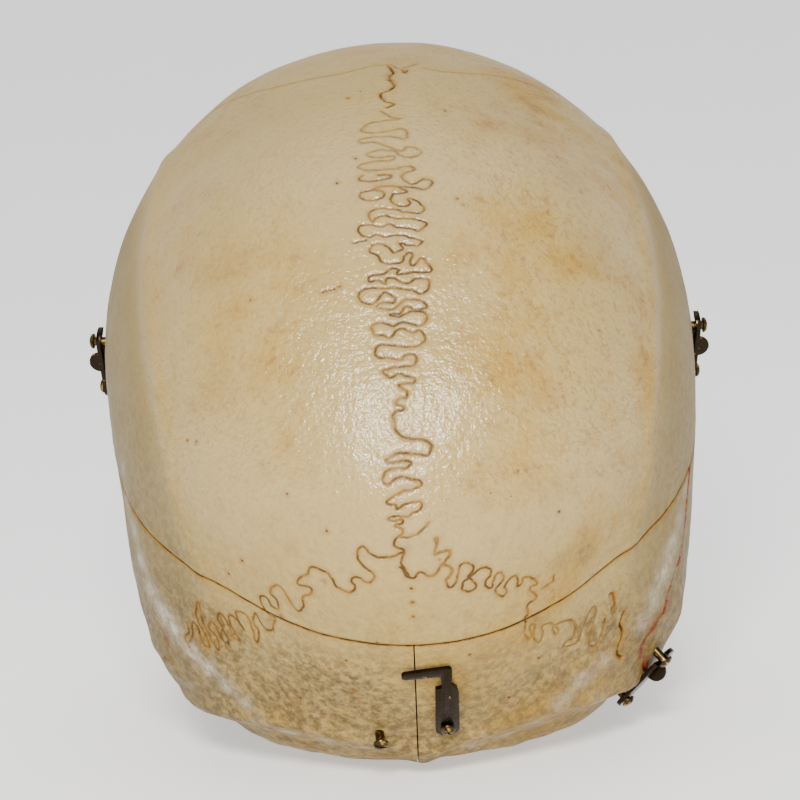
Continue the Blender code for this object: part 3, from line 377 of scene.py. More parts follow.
def block(name: str, low: Point, high: Point) -> Body:
    """A block between two corners."""
    middle = [(a + b) / 2 for a, b in zip(low, high)]
    bpy.ops.mesh.primitive_cube_add(size=1.0, location=middle, scale=[b - a for a, b in zip(low, high)])
    bpy.ops.object.transform_apply(location=True, rotation=True, scale=True)
    return Bench.named(name)


def below_floor() -> Body:
    """The block under the floor, in the upright frame, that takes off what would sink in."""
    made = block("floor_level", (-0.2, -0.2, -0.1), (0.2, 0.2, 0.0))
    made.data.transform(POSE.inverted())
    return made


@dataclass(frozen=True)
class Picture:
    """The view that the skull is drawn from, given in the upright frame."""

    target: tuple[float, float, float] = VAULT_MIDDLE
    distance: float = 0.932
    rise: float = math.radians(36.9)
    yaw: float = math.radians(-1.44)
    roll: float = math.radians(2.59)
    focal: float = 3980.0
    centre: tuple[float, float] = (400.65, 379.43)
    size: float = 800.0

    def axes(self) -> tuple[Array, Array, Array]:
        """The picture's right and up, and the way back to the camera."""
        back = np.array((
            -math.sin(self.yaw) * math.cos(self.rise),
            math.cos(self.yaw) * math.cos(self.rise),
            math.sin(self.rise),
        ))
        right = np.array((-math.cos(self.yaw), -math.sin(self.yaw), 0.0))
        up = np.cross(right, -back)
        return (
            right * math.cos(self.roll) - up * math.sin(self.roll),
            right * math.sin(self.roll) + up * math.cos(self.roll),
            back,
        )

    def rays(self, pixels: Array) -> tuple[Array, Array]:
        """The camera's place and the way it looks through each pixel."""
        right, up, back = self.axes()
        x = (pixels[:, :1] - self.centre[0]) / self.focal
        y = (self.centre[1] - pixels[:, 1:2]) / self.focal
        ways = x * right + y * up - back
        return np.array(self.target) + back * self.distance, ways / np.linalg.norm(ways, axis=1)[:, None]

    def camera(self) -> None:
        """Sets up the camera at that view, turned a little instead of shifted to frame it."""
        eye, ways = self.rays(np.array(((self.size / 2, self.size / 2), (self.size / 2 + 100, self.size / 2))))
        back = -ways[0]
        right = unit(ways[1] - ways[0] * float(ways[0] @ ways[1]))
        up = np.cross(back, right)
        turned = Matrix((right, up, back)).transposed().to_4x4()
        turned.translation = eye
        data = bpy.data.cameras.new("camera")
        data.sensor_width = 36.0
        data.lens = self.focal * data.sensor_width / self.size
        data.clip_start, data.clip_end = 0.05, 20.0
        made = bpy.data.objects.new("camera", data)
        made.matrix_world = POSE @ turned
        bpy.context.scene.collection.objects.link(made)
        bpy.context.scene.camera = made


@dataclass(frozen=True)
class Ridge:
    """A low ridge or hollow along the vault: its path, its height and its width in millimetres."""

    path: tuple[Point, ...]
    height: float
    width: float
    paired: bool = True


@dataclass
class Vault:
    """The braincase: a smooth surface through skull points in millimetres, with its low ridges."""

    centre: tuple[float, float, float] = VAULT_MIDDLE
    midline: dict[str, Point] = field(default_factory=lambda: {
        "glabella": (0, -96, 34), "metopion": (0, -94, 60), "upper_forehead": (0, -76, 88), "bregma": (0, -21, 115),
        "vertex": (0, 12, 117), "obelion": (0, 52, 102.5), "lambda": (0, 87, 66), "opisthocranion": (0, 89, 36),
        "inion": (0, 80, 2), "nuchal_plane": (0, 62, -17), "opisthion": (0, 40, -27), "basion": (0, 4, -26),
        "hormion": (0, -22, -8), "ethmoid": (0, -55, 14), "nasion": (0, -86, 24),
    })
    paired: dict[str, Point] = field(default_factory=lambda: {
        "frontal_eminence": (33.5, -84, 66), "frontotemporale": (49, -69, 44), "brow_end": (41, -80, 34),
        "pterion": (60, -40, 30), "stephanion": (54.5, -21, 89), "parietal_eminence": (56, 35, 79.5),
        "euryon": (66.5, 22, 52), "supramastoid": (60.5, 8, 13), "porion": (57, 0, 0), "asterion": (58, 49, 3),
        "cerebellar_bulge": (28, 55, -19), "occipital_side": (43, 66.5, 35), "parieto_occipital": (39.5, 68.5, 68),
        "temporal_floor": (44, -15, -14), "infratemporal": (39.5, -38, -4), "base_side": (27.5, 0, -22),
        "orbit_roof": (29.5, -62, 30), "coronal_side": (30, -22, 107), "parietal_top": (31.5, 20, 110),
    })
    ridges: tuple[Ridge, ...] = (
        Ridge((
            (49, -66, 40), (48, -50, 70), (52, -25, 90), (56, 4, 90.5), (56, 32, 81.4), (53.5, 47, 70.5),
            (51.5, 57.5, 50), (47, 63, 35), (53, 57, 20), (58, 45, 10),
        ), 0.6, 3),
        Ridge((
            (3, 81, 1), (12, 79, 6), (24, 75, 8), (34, 70, 6), (47, 58, 0), (53, 44, -6), (54, 28, -10),
        ), 1.7, 3),
        Ridge(((4, 80, -6), (18, 75, -4), (34, 66, -5), (46, 54, -9)), -1, 4),
        Ridge(((6, 84, 16), (20, 81, 18), (33, 74, 17)), -0.6, 5),
        Ridge(((2, 58, -20), (16, 56, -20), (30, 48, -20)), 0.9, 3),
        Ridge(((0, 78, -2), (0, 62, -17), (0, 44, -25)), 1, 2.8, False),
        Ridge(((0, 80.5, 1), (0, 79, -2)), 1.4, 4, False),
        Ridge(((0, 60, 99), (0, 72, 88)), -0.5, 12, False),
    )

    def __post_init__(self) -> None:
        """Solves the surface through the points, and lays the ridges on it."""
        both = [p for point in self.paired.values() for p in (point, mirrored(point))]
        points = from_mm([*self.midline.values(), *both]) - np.array(self.centre)
        radii = np.linalg.norm(points, axis=1)
        self.knots = points / radii[:, None]
        flat = np.c_[np.ones(len(radii)), self.knots]
        system = np.block([[self.spread(self.knots @ self.knots.T), flat], [flat.T, np.zeros((4, 4))]])
        self.weights = np.linalg.solve(system, np.r_[radii, np.zeros(4)])
        self.crests = []
        for ridge in self.ridges:
            path = smooth_path(self.onto(from_mm(ridge.path)), 12)
            paths = [path, path * (-1, 1, 1)] if ridge.paired else [path]
            tree = kdtree.KDTree(sum(map(len, paths)))
            for i, point in enumerate(np.vstack(paths)):
                tree.insert(point, i)
            tree.balance()
            self.crests.append((tree, ridge.height / 1000, ridge.width / 1000))

    @staticmethod
    def spread(cosine: Array) -> Array:
        """The thin-plate spread of one point's pull over the sphere of directions."""
        lift = np.clip(1 - cosine, 1e-9, None)
        return lift * np.log(lift)

    def radii(self, unit: Array) -> Array:
        """How far out the surface lies in each direction from the vault's centre."""
        flat = np.c_[np.ones(len(unit)), unit]
        return self.spread(unit @ self.knots.T) @ self.weights[:-4] + flat @ self.weights[-4:]

    def onto(self, points: Array, lift: Array | float = 0.0) -> Array:
        """The points moved in or out onto the surface, and raised by lift."""
        away = np.asarray(points) - np.array(self.centre)
        unit = away / np.linalg.norm(away, axis=1)[:, None]
        return np.array(self.centre) + unit * (self.radii(unit) + lift)[:, None]

    def height(self, points: Array) -> Array:
        """How far each point lies outside the surface."""
        away = np.asarray(points) - np.array(self.centre)
        reach = np.linalg.norm(away, axis=1)
        return reach - self.radii(away / reach[:, None])

    def relief(self, points: Array) -> Array:
        """The height of the low ridges and of the gentle unevenness at these surface points."""
        lift = np.zeros(len(points))
        low_back = fade(points[:, 2], 0.042, 0.022) * fade(points[:, 1], 0.03, 0.05)
        for i, point in enumerate(points):
            place = Vector(point)
            for tree, height, width in self.crests:
                distance = tree.find(place)[2]
                if distance < 3 * width:
                    lift[i] += height * math.exp(-((distance / width) ** 2))
            lift[i] += (0.00030 + 0.00025 * low_back[i]) * noise.noise(place * 55.0)
            lift[i] += (0.00010 + 0.00030 * low_back[i]) * noise.noise(place * 190.0)
        return lift

    def seen_at(self, picture: Picture, pixels: Array) -> Array:
        """The surface points that the camera sees at these pixels."""
        eye, ways = picture.rays(pixels)
        reach = np.full(len(pixels), picture.distance - 0.12)
        for _ in range(60):
            away = self.height(eye + ways * reach[:, None])
            reach += np.clip(away, -0.01, 0.01) * 0.8
        return self.onto(eye + ways * reach[:, None])

    def sphere(self, name: str, subdivisions: int) -> Body:
        """The closed braincase, from an icosphere with its vertices moved out onto the surface."""
        bpy.ops.mesh.primitive_ico_sphere_add(subdivisions=subdivisions, radius=0.1, location=self.centre)
        bpy.ops.object.transform_apply(location=True, rotation=True, scale=True)
        made = Bench.named(name)
        Bench.set_points(made, self.onto(Bench.points(made)))
        return made


@dataclass(frozen=True)
class Tracing:
    """A line drawn over the picture, enlarged from one corner: x and y by turns, to be laid on the bone."""

    corner: tuple[float, float]
    scale: float
    line: tuple[int, ...]
    tone: float = 1.0
    depth: float = 0.00026

    def pixels(self) -> Array:
        """The smoothed line in the picture's own pixels."""
        return np.array(self.corner) + smooth_path(np.reshape(self.line, (-1, 2)), 6) / self.scale


TOP_VIEW = ((330, 80), 6.27)
LOW_VIEW = ((340, 320), 6.03)
LEFT_VIEW = ((180, 520), 6.272)
RIGHT_VIEW = ((400, 530), 6.272)
WIDE_VIEW = ((0, 0), 1.0)

SUTURES_SEEN = (
    Tracing(*TOP_VIEW, (365, 0, 400, 25, 395, 52, 350, 72, 315, 90, 345, 130, 400, 150, 355, 172), 1.0, 0.0005),
    Tracing(*TOP_VIEW, (
        320, 190, 385, 230, 440, 240, 330, 252, 240, 270, 195, 308, 250, 325, 350, 318, 450, 300, 485, 330,
        470, 362, 380, 350, 280, 352, 185, 368, 195, 390, 270, 385, 350, 405, 440, 440, 485, 412, 560, 430,
        565, 460, 500, 480, 440, 468, 400, 440, 320, 432, 235, 455, 250, 475, 340, 478, 400, 472, 390, 498,
        300, 505, 210, 520, 178, 545, 230, 562, 330, 560, 420, 550, 500, 535,
    ), 0.55),
    Tracing(*TOP_VIEW, (
        500, 535, 530, 560, 470, 580, 450, 612, 520, 650, 600, 618, 642, 645, 600, 682, 520, 672, 430, 665,
        350, 663, 270, 682, 330, 700, 335, 735, 250, 755, 192, 735, 200, 705, 270, 688,
    ), 0.9),
    Tracing(*TOP_VIEW, (200, 600, 180, 628, 250, 632, 330, 622, 382, 605, 380, 590, 300, 595), 0.8),
    Tracing(*TOP_VIEW, (
        430, 668, 480, 700, 400, 715, 378, 755, 450, 790, 500, 772, 490, 742, 540, 755, 592, 795, 570, 832,
        480, 825, 400, 812, 300, 805, 240, 840, 268, 885, 295, 862, 350, 850, 420, 868, 500, 868, 580, 880,
        606, 905, 560, 940, 480, 925, 420, 922, 370, 902, 310, 920, 250, 908, 190, 915, 178, 955, 235, 982,
        290, 968, 340, 982, 400, 975, 460, 970, 520, 988, 582, 1008, 550, 1036, 490, 1030, 442, 1022, 456, 1060,
        400, 1082,
    )),
    Tracing(*TOP_VIEW, (
        400, 1082, 340, 1032, 270, 1030, 250, 1075, 300, 1100, 330, 1142, 400, 1148, 455, 1140, 465, 1100,
        500, 1080, 520, 1100, 500, 1140, 530, 1162, 570, 1115, 612, 1145, 635, 1190, 570, 1206, 500, 1204,
        420, 1216, 430, 1186, 380, 1180, 340, 1212, 250, 1226, 252, 1264, 310, 1256, 350, 1276, 352, 1246,
        400, 1240, 460, 1270, 510, 1262, 545, 1244, 612, 1246, 622, 1300, 570, 1336, 500, 1312, 420, 1302,
        330, 1305, 250, 1304, 182, 1330, 190, 1382, 250, 1404, 305, 1372, 340, 1330, 402, 1356, 402, 1392,
        330, 1390, 298, 1420, 380, 1436, 440, 1402, 480, 1370, 560, 1378, 612, 1418, 540, 1436, 480, 1414,
        440, 1460, 375, 1466, 430, 1482, 500, 1452, 590, 1450, 612, 1500, 570, 1532, 510, 1526, 450, 1514,
        400, 1540, 330, 1520, 265, 1532, 262, 1568,
    )),
    Tracing(*LOW_VIEW, (
        195, 42, 198, 66, 215, 90, 260, 90, 302, 104, 340, 62, 390, 50, 440, 76, 480, 58, 512, 92, 500, 132,
        450, 156, 380, 160, 310, 150, 250, 150, 219, 170, 216, 208, 240, 230, 290, 225, 330, 236, 375, 236,
        385, 214, 440, 204, 466, 220, 456, 260, 430, 276, 370, 280, 310, 290, 262, 304, 280, 332, 310, 345,
        350, 325, 390, 336, 440, 344, 454, 360, 440, 380, 390, 384, 358, 396, 375, 412, 402, 426, 406, 446,
        398, 464, 365, 470, 340, 490, 342, 510, 366, 516, 388, 530, 370, 546, 335, 550, 316, 580, 328, 620,
        330, 660, 360, 690, 410, 716, 490, 720, 542, 745, 552, 780, 530, 822, 470, 812, 400, 805, 350, 808,
        300, 830, 273, 850, 300, 863, 350, 855, 402, 850, 428, 872, 400, 895, 350, 900, 290, 910, 262, 935,
        262, 980, 300, 986, 340, 960, 382, 948, 430, 966, 480, 975, 496, 998, 450, 1020, 390, 1035, 330, 1060,
        278, 1095, 295, 1112, 330, 1115, 352, 1136, 382, 1114, 430, 1105, 480, 1098, 494, 1120, 476, 1150,
        440, 1166, 400, 1190, 340, 1184, 292, 1196, 310, 1216, 350, 1206, 382, 1206, 372, 1226, 334, 1232,
        342, 1250, 376, 1260, 376, 1286, 350, 1310, 330, 1340, 328, 1365, 380, 1380, 386, 1402, 374, 1432,
        368, 1470, 390, 1505, 415, 1546,
    )),
    Tracing(*LOW_VIEW, (350, 1310, 420, 1312, 470, 1290, 505, 1262, 535, 1222), 0.8),
    Tracing(*LOW_VIEW, (
        586, 1320, 590, 1345, 572, 1405, 640, 1390, 662, 1412, 640, 1450, 606, 1482, 640, 1480, 672, 1508,
        662, 1560,
    ), 0.9),
    Tracing(*LEFT_VIEW, (
        1392, 205, 1340, 230, 1290, 238, 1240, 234, 1190, 215, 1165, 185, 1140, 170, 1115, 195, 1113, 240,
        1135, 275, 1160, 300, 1200, 330, 1216, 360, 1190, 396, 1160, 390, 1130, 365, 1090, 360, 1070, 378,
        1080, 402, 1096, 415, 1086, 440, 1055, 456, 1020, 440, 985, 420, 960, 380, 930, 340, 890, 318, 850, 300,
        812, 300, 800, 342, 760, 355, 734, 388, 745, 412, 790, 420, 826, 440, 815, 470, 780, 476, 768, 500,
        776, 540, 745, 572, 715, 550, 680, 500, 650, 450, 615, 410, 580, 420, 560, 460, 590, 490, 614, 530,
        605, 556, 570, 540, 540, 492, 502, 484, 510, 530, 540, 580, 595, 620,
    )),
    Tracing(*LEFT_VIEW, (
        590, 628, 576, 690, 540, 690, 500, 640, 470, 590, 452, 640, 490, 700, 484, 772, 466, 740, 440, 650,
        400, 590, 352, 575, 356, 610, 400, 690, 376, 655, 330, 600, 300, 610, 330, 690, 372, 745, 340, 742,
        296, 650, 250, 590, 232, 620, 270, 700, 300, 772, 262, 760, 220, 670, 190, 640, 182, 680, 230, 760,
        236, 822, 196, 770, 160, 680, 122, 515, 104, 570, 140, 680, 180, 800, 140, 770, 110, 660, 84, 640, 80, 720,
        60, 760,
    ), 0.85, 0.0004),
    Tracing(*LEFT_VIEW, (250, 600, 270, 660, 255, 720, 285, 800), 0.6),
    Tracing(*LEFT_VIEW, (40, 640, 62, 700, 36, 730, 64, 790), 0.8, 0.0004),
    Tracing(*RIGHT_VIEW, (
        0, 232, 18, 250, 40, 292, 90, 302, 128, 264, 180, 292, 235, 270, 268, 215, 325, 243, 326, 280, 290, 320,
        310, 361, 346, 346, 360, 290, 380, 225, 415, 208, 460, 230, 452, 270, 426, 300, 470, 334, 478, 370,
        430, 390, 394, 374, 400, 330, 440, 300, 480, 265, 530, 240, 572, 250, 570, 290, 540, 322, 546, 362,
        580, 364, 590, 320, 610, 280, 636, 270, 652, 296, 640, 330, 610, 362, 600, 386, 640, 420, 670, 395,
        660, 350, 690, 310, 725, 290, 742, 320, 740, 353, 765, 335, 780, 300, 812, 295, 852, 320, 860, 346,
        828, 356, 820, 380, 856, 410, 850, 440, 815, 462, 798, 492, 810, 530, 788, 552, 792, 585,
    )),
    Tracing(*RIGHT_VIEW, (225, 60, 232, 100, 214, 152, 262, 140, 310, 134, 316, 160, 268, 215), 0.9),
    Tracing(*RIGHT_VIEW, (900, 372, 930, 345, 965, 322, 970, 288), 0.7),
    Tracing(*RIGHT_VIEW, (
        790, 600, 786, 650, 812, 690, 832, 668, 818, 612, 850, 602, 842, 680, 880, 714, 902, 660, 892, 612,
        930, 592, 970, 600, 1000, 640, 975, 655, 968, 610, 1050, 572, 1102, 592, 1088, 680, 1050, 710, 1030, 740,
        1060, 742, 1120, 700, 1150, 620, 1180, 540, 1225, 478, 1230, 540, 1200, 640, 1190, 720, 1230, 730,
        1270, 640, 1290, 560,
    ), 0.6, 0.0004),
    Tracing(*RIGHT_VIEW, (1318, 410, 1340, 405, 1350, 470, 1330, 500), 1.3, 0.0006),
    Tracing(*RIGHT_VIEW, (1408, 512, 1385, 600, 1404, 645, 1388, 700, 1362, 780, 1392, 802), 1.5, 0.0008),
    Tracing(*WIDE_VIEW, (
        215, 108, 240, 97, 262, 90, 300, 81, 323, 77, 345, 73, 358, 70, 373, 66, 385, 65, 391, 65, 396, 68, 402, 70,
        406, 68, 417, 65,
    ), 0.5, 0.00018),
    Tracing(*WIDE_VIEW, (424, 69, 441, 72, 459, 73, 489, 75, 520, 82, 555, 96), 0.35, 0.00015),
    Tracing(*WIDE_VIEW, (388, 66, 393, 72, 390, 78, 394, 86, 391, 89), 1.3, 0.0005),
    Tracing(*WIDE_VIEW, (403, 71, 405, 74, 407, 71), 1.0, 0.0003),
    Tracing(*WIDE_VIEW, (353, 243, 360, 241, 367, 240), 0.9),
)

DOTS_SEEN = (
    (412.5, 603.0, 1.8), (411.5, 589.0, 1.2), (413.5, 617.0, 1.2), (322.5, 291.8, 1.5), (326.0, 290.6, 1.3),
    (330.0, 289.8, 1.2), (334.0, 288.8, 1.4), (339.0, 286.0, 1.5), (348.0, 98.0, 1.2), (337.0, 183.0, 1.2),
    (355.5, 157.5, 0.9), (445.5, 110.0, 1.0), (458.0, 198.0, 1.1), (464.0, 204.0, 0.8), (326.6, 531.5, 1.2),
    (287.0, 494.0, 0.9), (242.0, 561.0, 1.1), (228.5, 574.0, 1.0), (196.0, 441.0, 1.0), (187.0, 440.0, 0.9),
    (519.0, 471.0, 0.8), (560.0, 512.0, 0.9), (440.0, 560.0, 0.8), (600.0, 330.0, 0.8), (250.0, 300.0, 0.8),
    (510.0, 700.0, 1.1), (352.0, 690.0, 1.1), (330.0, 668.0, 1.0), (346.0, 661.0, 1.0), (540.0, 660.0, 1.0),
    (480.0, 735.0, 1.0), (300.0, 700.0, 1.0), (470.0, 655.0, 1.0), (377.0, 643.0, 1.0), (309.0, 631.0, 0.9),
)


class Stain(Enum):
    """The kinds of stain on the bone, with painted shade mixed into the grime and a painted sheen along the low
    flanks.
    """

    # Real dark grime smudges, with painted shade down the back and under the skull in the same attribute.
    GRIME = "grime"
    AMBER = "amber"
    FRECKLE = "freckle"
    # Painted sheen: pale streaks along the low flanks, standing in for a reflection of the pale table.
    PAINTED_SHEEN = "painted_sheen"


STAINS_SEEN = {
    # Real dark smudges; the same attribute also carries the painted shade down the back.
    Stain.GRIME: (
        (585, 551, 3.2, 0.6), (563, 560, 2.4, 0.4), (201, 612, 3.2, 0.65), (211, 624, 4.4, 0.65),
        (224, 634, 4.0, 0.5), (190, 634, 2.6, 0.75), (238, 630, 3.4, 0.35), (268, 617, 1.6, 0.55),
        (590, 622, 4.0, 0.45), (604, 630, 4.2, 0.55), (575, 630, 3.0, 0.35), (535, 622, 2.0, 0.55),
        (612, 610, 2.6, 0.45), (392, 76, 1.8, 0.45), (404, 548, 2.0, 0.3), (438, 536, 1.8, 0.25),
        (300, 650, 5.0, 0.25), (500, 655, 5.0, 0.2), (320, 672, 9.0, 0.35), (270, 652, 7.0, 0.22),
        (360, 692, 8.0, 0.35), (300, 705, 7.0, 0.3), (375, 662, 7.0, 0.28), (480, 672, 8.0, 0.16),
        (555, 668, 8.0, 0.22), (420, 742, 7.0, 0.25), (170, 600, 7.0, 0.2), (215, 655, 6.0, 0.28),
        (175, 560, 6.0, 0.16), (640, 640, 5.0, 0.25),
    ),
    Stain.AMBER: (
        (471, 485, 1.8, 0.45), (484, 505, 1.6, 0.4), (557, 487, 2.0, 0.35), (594, 441, 2.2, 0.35),
        (617, 460, 2.6, 0.4), (653, 477, 2.0, 0.3), (494, 544, 1.6, 0.3), (291, 548, 1.6, 0.5),
        (289, 439, 1.8, 0.35), (220, 504, 1.8, 0.4), (262, 466, 1.8, 0.35), (592, 650, 1.1, 1.00),
        (605, 649, 1.0, 1.00), (613, 642, 1.2, 0.9), (618, 653, 1.0, 0.8), (613, 597, 1.3, 0.9),
        (624, 622, 1.2, 0.8), (225, 270, 5.0, 0.35), (575, 180, 5.0, 0.4), (600, 250, 6.0, 0.3),
        (540, 390, 5.0, 0.2), (215, 390, 6.0, 0.25), (505, 110, 4.0, 0.25),
    ),
    Stain.FRECKLE: (
        (324.3, 580.6, 0.6, 1.0), (281.5, 616, 0.7, 0.9), (167, 638, 1.2, 1.0), (147, 611, 1.0, 0.9),
        (484, 114, 0.8, 0.5), (484, 127, 0.9, 0.4), (496, 102, 0.6, 0.5),
    ),
    # Painted sheen: pale streaks along the low flanks, standing in for a reflection of the pale table.
    Stain.PAINTED_SHEEN: (
        (123, 470, 2.0, 0.45), (127, 500, 2.2, 0.6), (134, 530, 2.4, 0.75), (141, 560, 2.6, 0.8),
        (150, 590, 2.8, 0.85), (162, 612, 3.0, 0.9), (176, 630, 2.8, 0.9), (192, 650, 2.6, 0.85),
        (208, 668, 2.4, 0.75), (226, 685, 2.2, 0.7), (245, 702, 2.0, 0.65), (264, 718, 2.0, 0.6),
        (290, 735, 2.2, 0.7), (325, 745, 2.2, 0.7), (232, 722, 2.4, 0.55), (686, 490, 2.0, 0.5),
        (680, 520, 2.2, 0.6), (672, 545, 2.8, 0.75), (664, 570, 3.0, 0.75), (654, 597, 3.0, 0.7),
        (643, 622, 2.6, 0.5), (603, 662, 2.8, 0.45), (582, 680, 2.6, 0.5), (560, 700, 2.6, 0.55),
        (535, 720, 2.6, 0.6), (505, 738, 2.4, 0.65), (474, 748, 2.2, 0.6), (590, 700, 3.0, 0.45),
        (440, 753, 2.0, 0.45), (365, 750, 2.0, 0.5),
    ),
}


@dataclass(frozen=True)
class Cuts:
    """Where the skull was sawn apart: its cap, its midline and the block behind the right ear."""

    cap_height: float = 0.0395
    cap_rise: float = 0.055
    cap_back: float = 0.089
    block_gap: float = 0.001
    block_outline: tuple[Point, ...] = (
        (-0.055, -0.06), (-0.055, 0.06), (0.024, 0.06), (0.0345, 0.044), (0.045, 0.028), (0.053, 0.0205),
        (0.06, 0.011), (0.056, 0.0), (0.048, -0.01), (0.038, -0.02), (0.036, -0.06),
    )

    def cap_saw(self, y: float | Array) -> float | Array:
        """The height of the saw cut that frees the cap."""
        return self.cap_height + self.cap_rise * (self.cap_back - y)

    @staticmethod
    def midline_saw(y: float) -> float:
        """Where the upright saw cut through the base lies."""
        return 0.00015 + 0.0109 * (y + 0.0935)


class Seams:
    """Every suture and saw line that is cut into the surface, with how dark and how deep each is."""

    SPACING = 0.00012
    REACH = 0.0045
    FINEST = 0.00036
    GROOVE_WIDTH = 0.00036
    LIP_PLACE, LIP_WIDTH, LIP_SHARE = 0.0011, 0.0005, 0.32

    def __init__(self, vault: Vault, picture: Picture, cuts: Cuts) -> None:
        self.vault, self.cuts = vault, cuts
        self.samples: list[Array] = []
        self.tones: list[float] = []
        self.depths: list[float] = []
        for tracing in SUTURES_SEEN:
            self.add(vault.seen_at(picture, tracing.pixels()), tracing.tone, tracing.depth, 1.0)
        for x, y, tone in DOTS_SEEN:
            self.add(vault.seen_at(picture, np.array(((x - 0.4, y), (x + 0.4, y + 0.3)))), tone, 0.0003)
        self.add_cap_saw()
        self.add_hidden_sutures()
        tree = kdtree.KDTree(sum(map(len, self.samples)))
        self.owner: list[int] = []
        for number, rows in enumerate(self.samples):
            for row in rows:
                tree.insert(row, len(self.owner))
                self.owner.append(number)
        tree.balance()
        self.tree = tree

    def add(self, line: Array, tone: float, depth: float, shaky: float = 0.0) -> None:
        """Adds one line on the surface, filled up with closely spaced points.

        Args:
            line: the line's points on the vault.
            tone: how dark it is.
            depth: how deep it is cut.
            shaky: how much it trembles from side to side.
        """
        lengths = lengths_along(line)
        filled = spaced(line, lengths, np.arange(0, lengths[-1], self.SPACING))
        if shaky:
            fine = np.array([noise.noise_vector(Vector(p) * 1500.0) for p in filled])
            wide = np.array([noise.noise_vector(Vector(p) * 600.0) for p in filled])
            filled = self.vault.onto(filled + shaky * (0.00013 * fine + 0.00022 * wide))
        self.samples.append(filled)
        self.tones.append(tone)
        self.depths.append(depth)

    def add_cap_saw(self) -> None:
        """The saw line all round the cap."""
        turn = np.linspace(0, 2 * np.pi, 241)
        line = np.stack((0.07 * np.sin(turn), 0.09 * np.cos(turn), np.full(len(turn), 0.045)), 1)
        for _ in range(30):
            line = self.vault.onto(line)
            line[:, 2] = self.cuts.cap_saw(line[:, 1])
        self.add(line, 1.1, 0.0004)

    def add_hidden_sutures(self) -> None:
        """The sutures that the picture doesn't show: coronal, squamosal and the rest of the lambdoid."""
        coronal = [(40, -43, 95), (48, -40.5, 84), (56, -39, 66), (60, -40, 46), (60, -40.5, 30)]
        squamosal = [(60, -40.5, 30), (60, -28, 33.5), (62, -10, 34.5), (64, 10, 33), (62, 26, 26.5), (61, 38, 16.5),
                     (60, 49, 4)]
        greater_wing = [(60, -40.5, 30), (57, -36, 20), (53, -31, 10), (48, -26, -6)]
        wing_front = [(60, -40.5, 29.5), (55, -50, 27), (50, -60, 25.5)]
        occipitomastoid = [(58, 49, 3.5), (50, 44, -6), (41, 34, -16), (34, 20, -22)]
        parietomastoid = [(60, 49, 4), (60, 56, 8)]
        teeth = (0.001, 0.0032)
        for side in Side:
            wander = 3.0 * side.value
            for path, size, wave, tone, depth in (
                (coronal, *teeth, 0.35, 0.00014), (squamosal, 0.0007, 0.006, 0.7, 0.00025),
                (greater_wing, 0.0005, 0.005, 0.5, 0.00018), (wing_front, 0.0006, 0.004, 0.5, 0.00018),
                (occipitomastoid, 0.0009, 0.0035, 0.8, 0.00025), (parietomastoid, 0.0009, 0.003, 0.8, 0.00025),
            ):
                if side is Side.RIGHT and path is parietomastoid:
                    continue
                self.add(self.wavy(path, side, size, wave, wander), tone, depth)

    def wavy(self, path: Sequence[Point], side: Side, size: float, wave: float, start: float) -> Array:
        """A line on the surface that winds to and fro across its path."""
        rows = self.vault.onto(smooth_path(from_mm(path) * (side.value, 1, 1), 30))
        tangents, outward = np.gradient(rows, axis=0), rows - np.array(self.vault.centre)
        for ways in (tangents, outward):
            ways /= np.linalg.norm(ways, axis=1)[:, None]
        across = np.cross(tangents, outward)
        lengths = lengths_along(rows)
        places = np.arange(0, lengths[-1], wave / 16)
        rows, across = spaced(rows, lengths, places), spaced(across, lengths, places)
        phase = 2 * np.pi * places / wave
        swing = [
            math.sin(p + 2.2 * noise.noise(Vector((start, s * 240, 0))))
            * (0.7 + 0.9 * noise.noise(Vector((s * 160, start, 7))))
            for p, s in zip(phase, places)
        ]
        return self.vault.onto(rows + across * (size * np.array(swing))[:, None])

    def nearest(self, point: Point) -> tuple[float, int]:
        """How far the nearest line lies from a point, and that line's number."""
        _, index, distance = self.tree.find(point)
        return distance, self.owner[index]

    def refine(self, target: Body) -> None:
        """Makes the mesh finer along the lines, in a few passes."""
        work = bmesh.new()
        work.from_mesh(target.data)
        bmesh.ops.triangulate(work, faces=[f for f in work.faces if len(f.verts) == 4])
        for _ in range(4):
            chosen = []
            for edge in work.edges:
                a, b = (v.co for v in edge.verts)
                length = (a - b).length
                if length < self.FINEST:
                    continue
                distance, _ = self.nearest((a + b) / 2)
                if distance > self.REACH:
                    continue
                wanted = 0.00028 if distance < 0.00045 else 0.00055 if distance < 0.0014 else 0.0011
                if length > 1.35 * wanted and abs(self.vault.height(np.array([(a + b) / 2]))[0]) < 0.002:
                    chosen.append(edge)
            if not chosen:
                break
            bmesh.ops.subdivide_edges(work, edges=chosen, cuts=1, use_single_edge=True)
            bmesh.ops.triangulate(work, faces=[f for f in work.faces if 3 < len(f.verts) < 8])
        work.to_mesh(target.data)
        work.free()

    def carve(self, target: Body, steady: Callable[[Array], Array]) -> None:
        """Lays the outer surface back on the vault with its relief, and cuts the lines into it.

        Args:
            target: the piece, in the upright frame.
            steady: gives, for each vertex, how firmly it holds to the vault, from 0 to 1.
        """
        points = Bench.points(target)
        hold = steady(points)
        lift = np.zeros(len(points))
        distance = np.full(len(points), 0.01)
        tone = np.zeros(len(points))
        held = np.nonzero(hold > 0)[0]
        lift[held] = self.vault.relief(self.vault.onto(points[held]))
        for i in range(len(points)):
            away, number = self.nearest(points[i])
            distance[i], tone[i] = away, self.tones[number]
            if away < 0.0025 and hold[i] > 0:
                deep = self.depths[number]
                lift[i] += self.LIP_SHARE * deep * math.exp(-(((away - self.LIP_PLACE) / self.LIP_WIDTH) ** 2))
                lift[i] -= deep * math.exp(-((away / self.GROOVE_WIDTH) ** 2))
        moved = self.vault.onto(points, lift)
        Bench.set_points(target, points + (moved - points) * hold[:, None])
        Bench.paint(target, "seam", np.minimum(distance, 0.01) * 1000)
        Bench.paint(target, "seam_tone", tone)


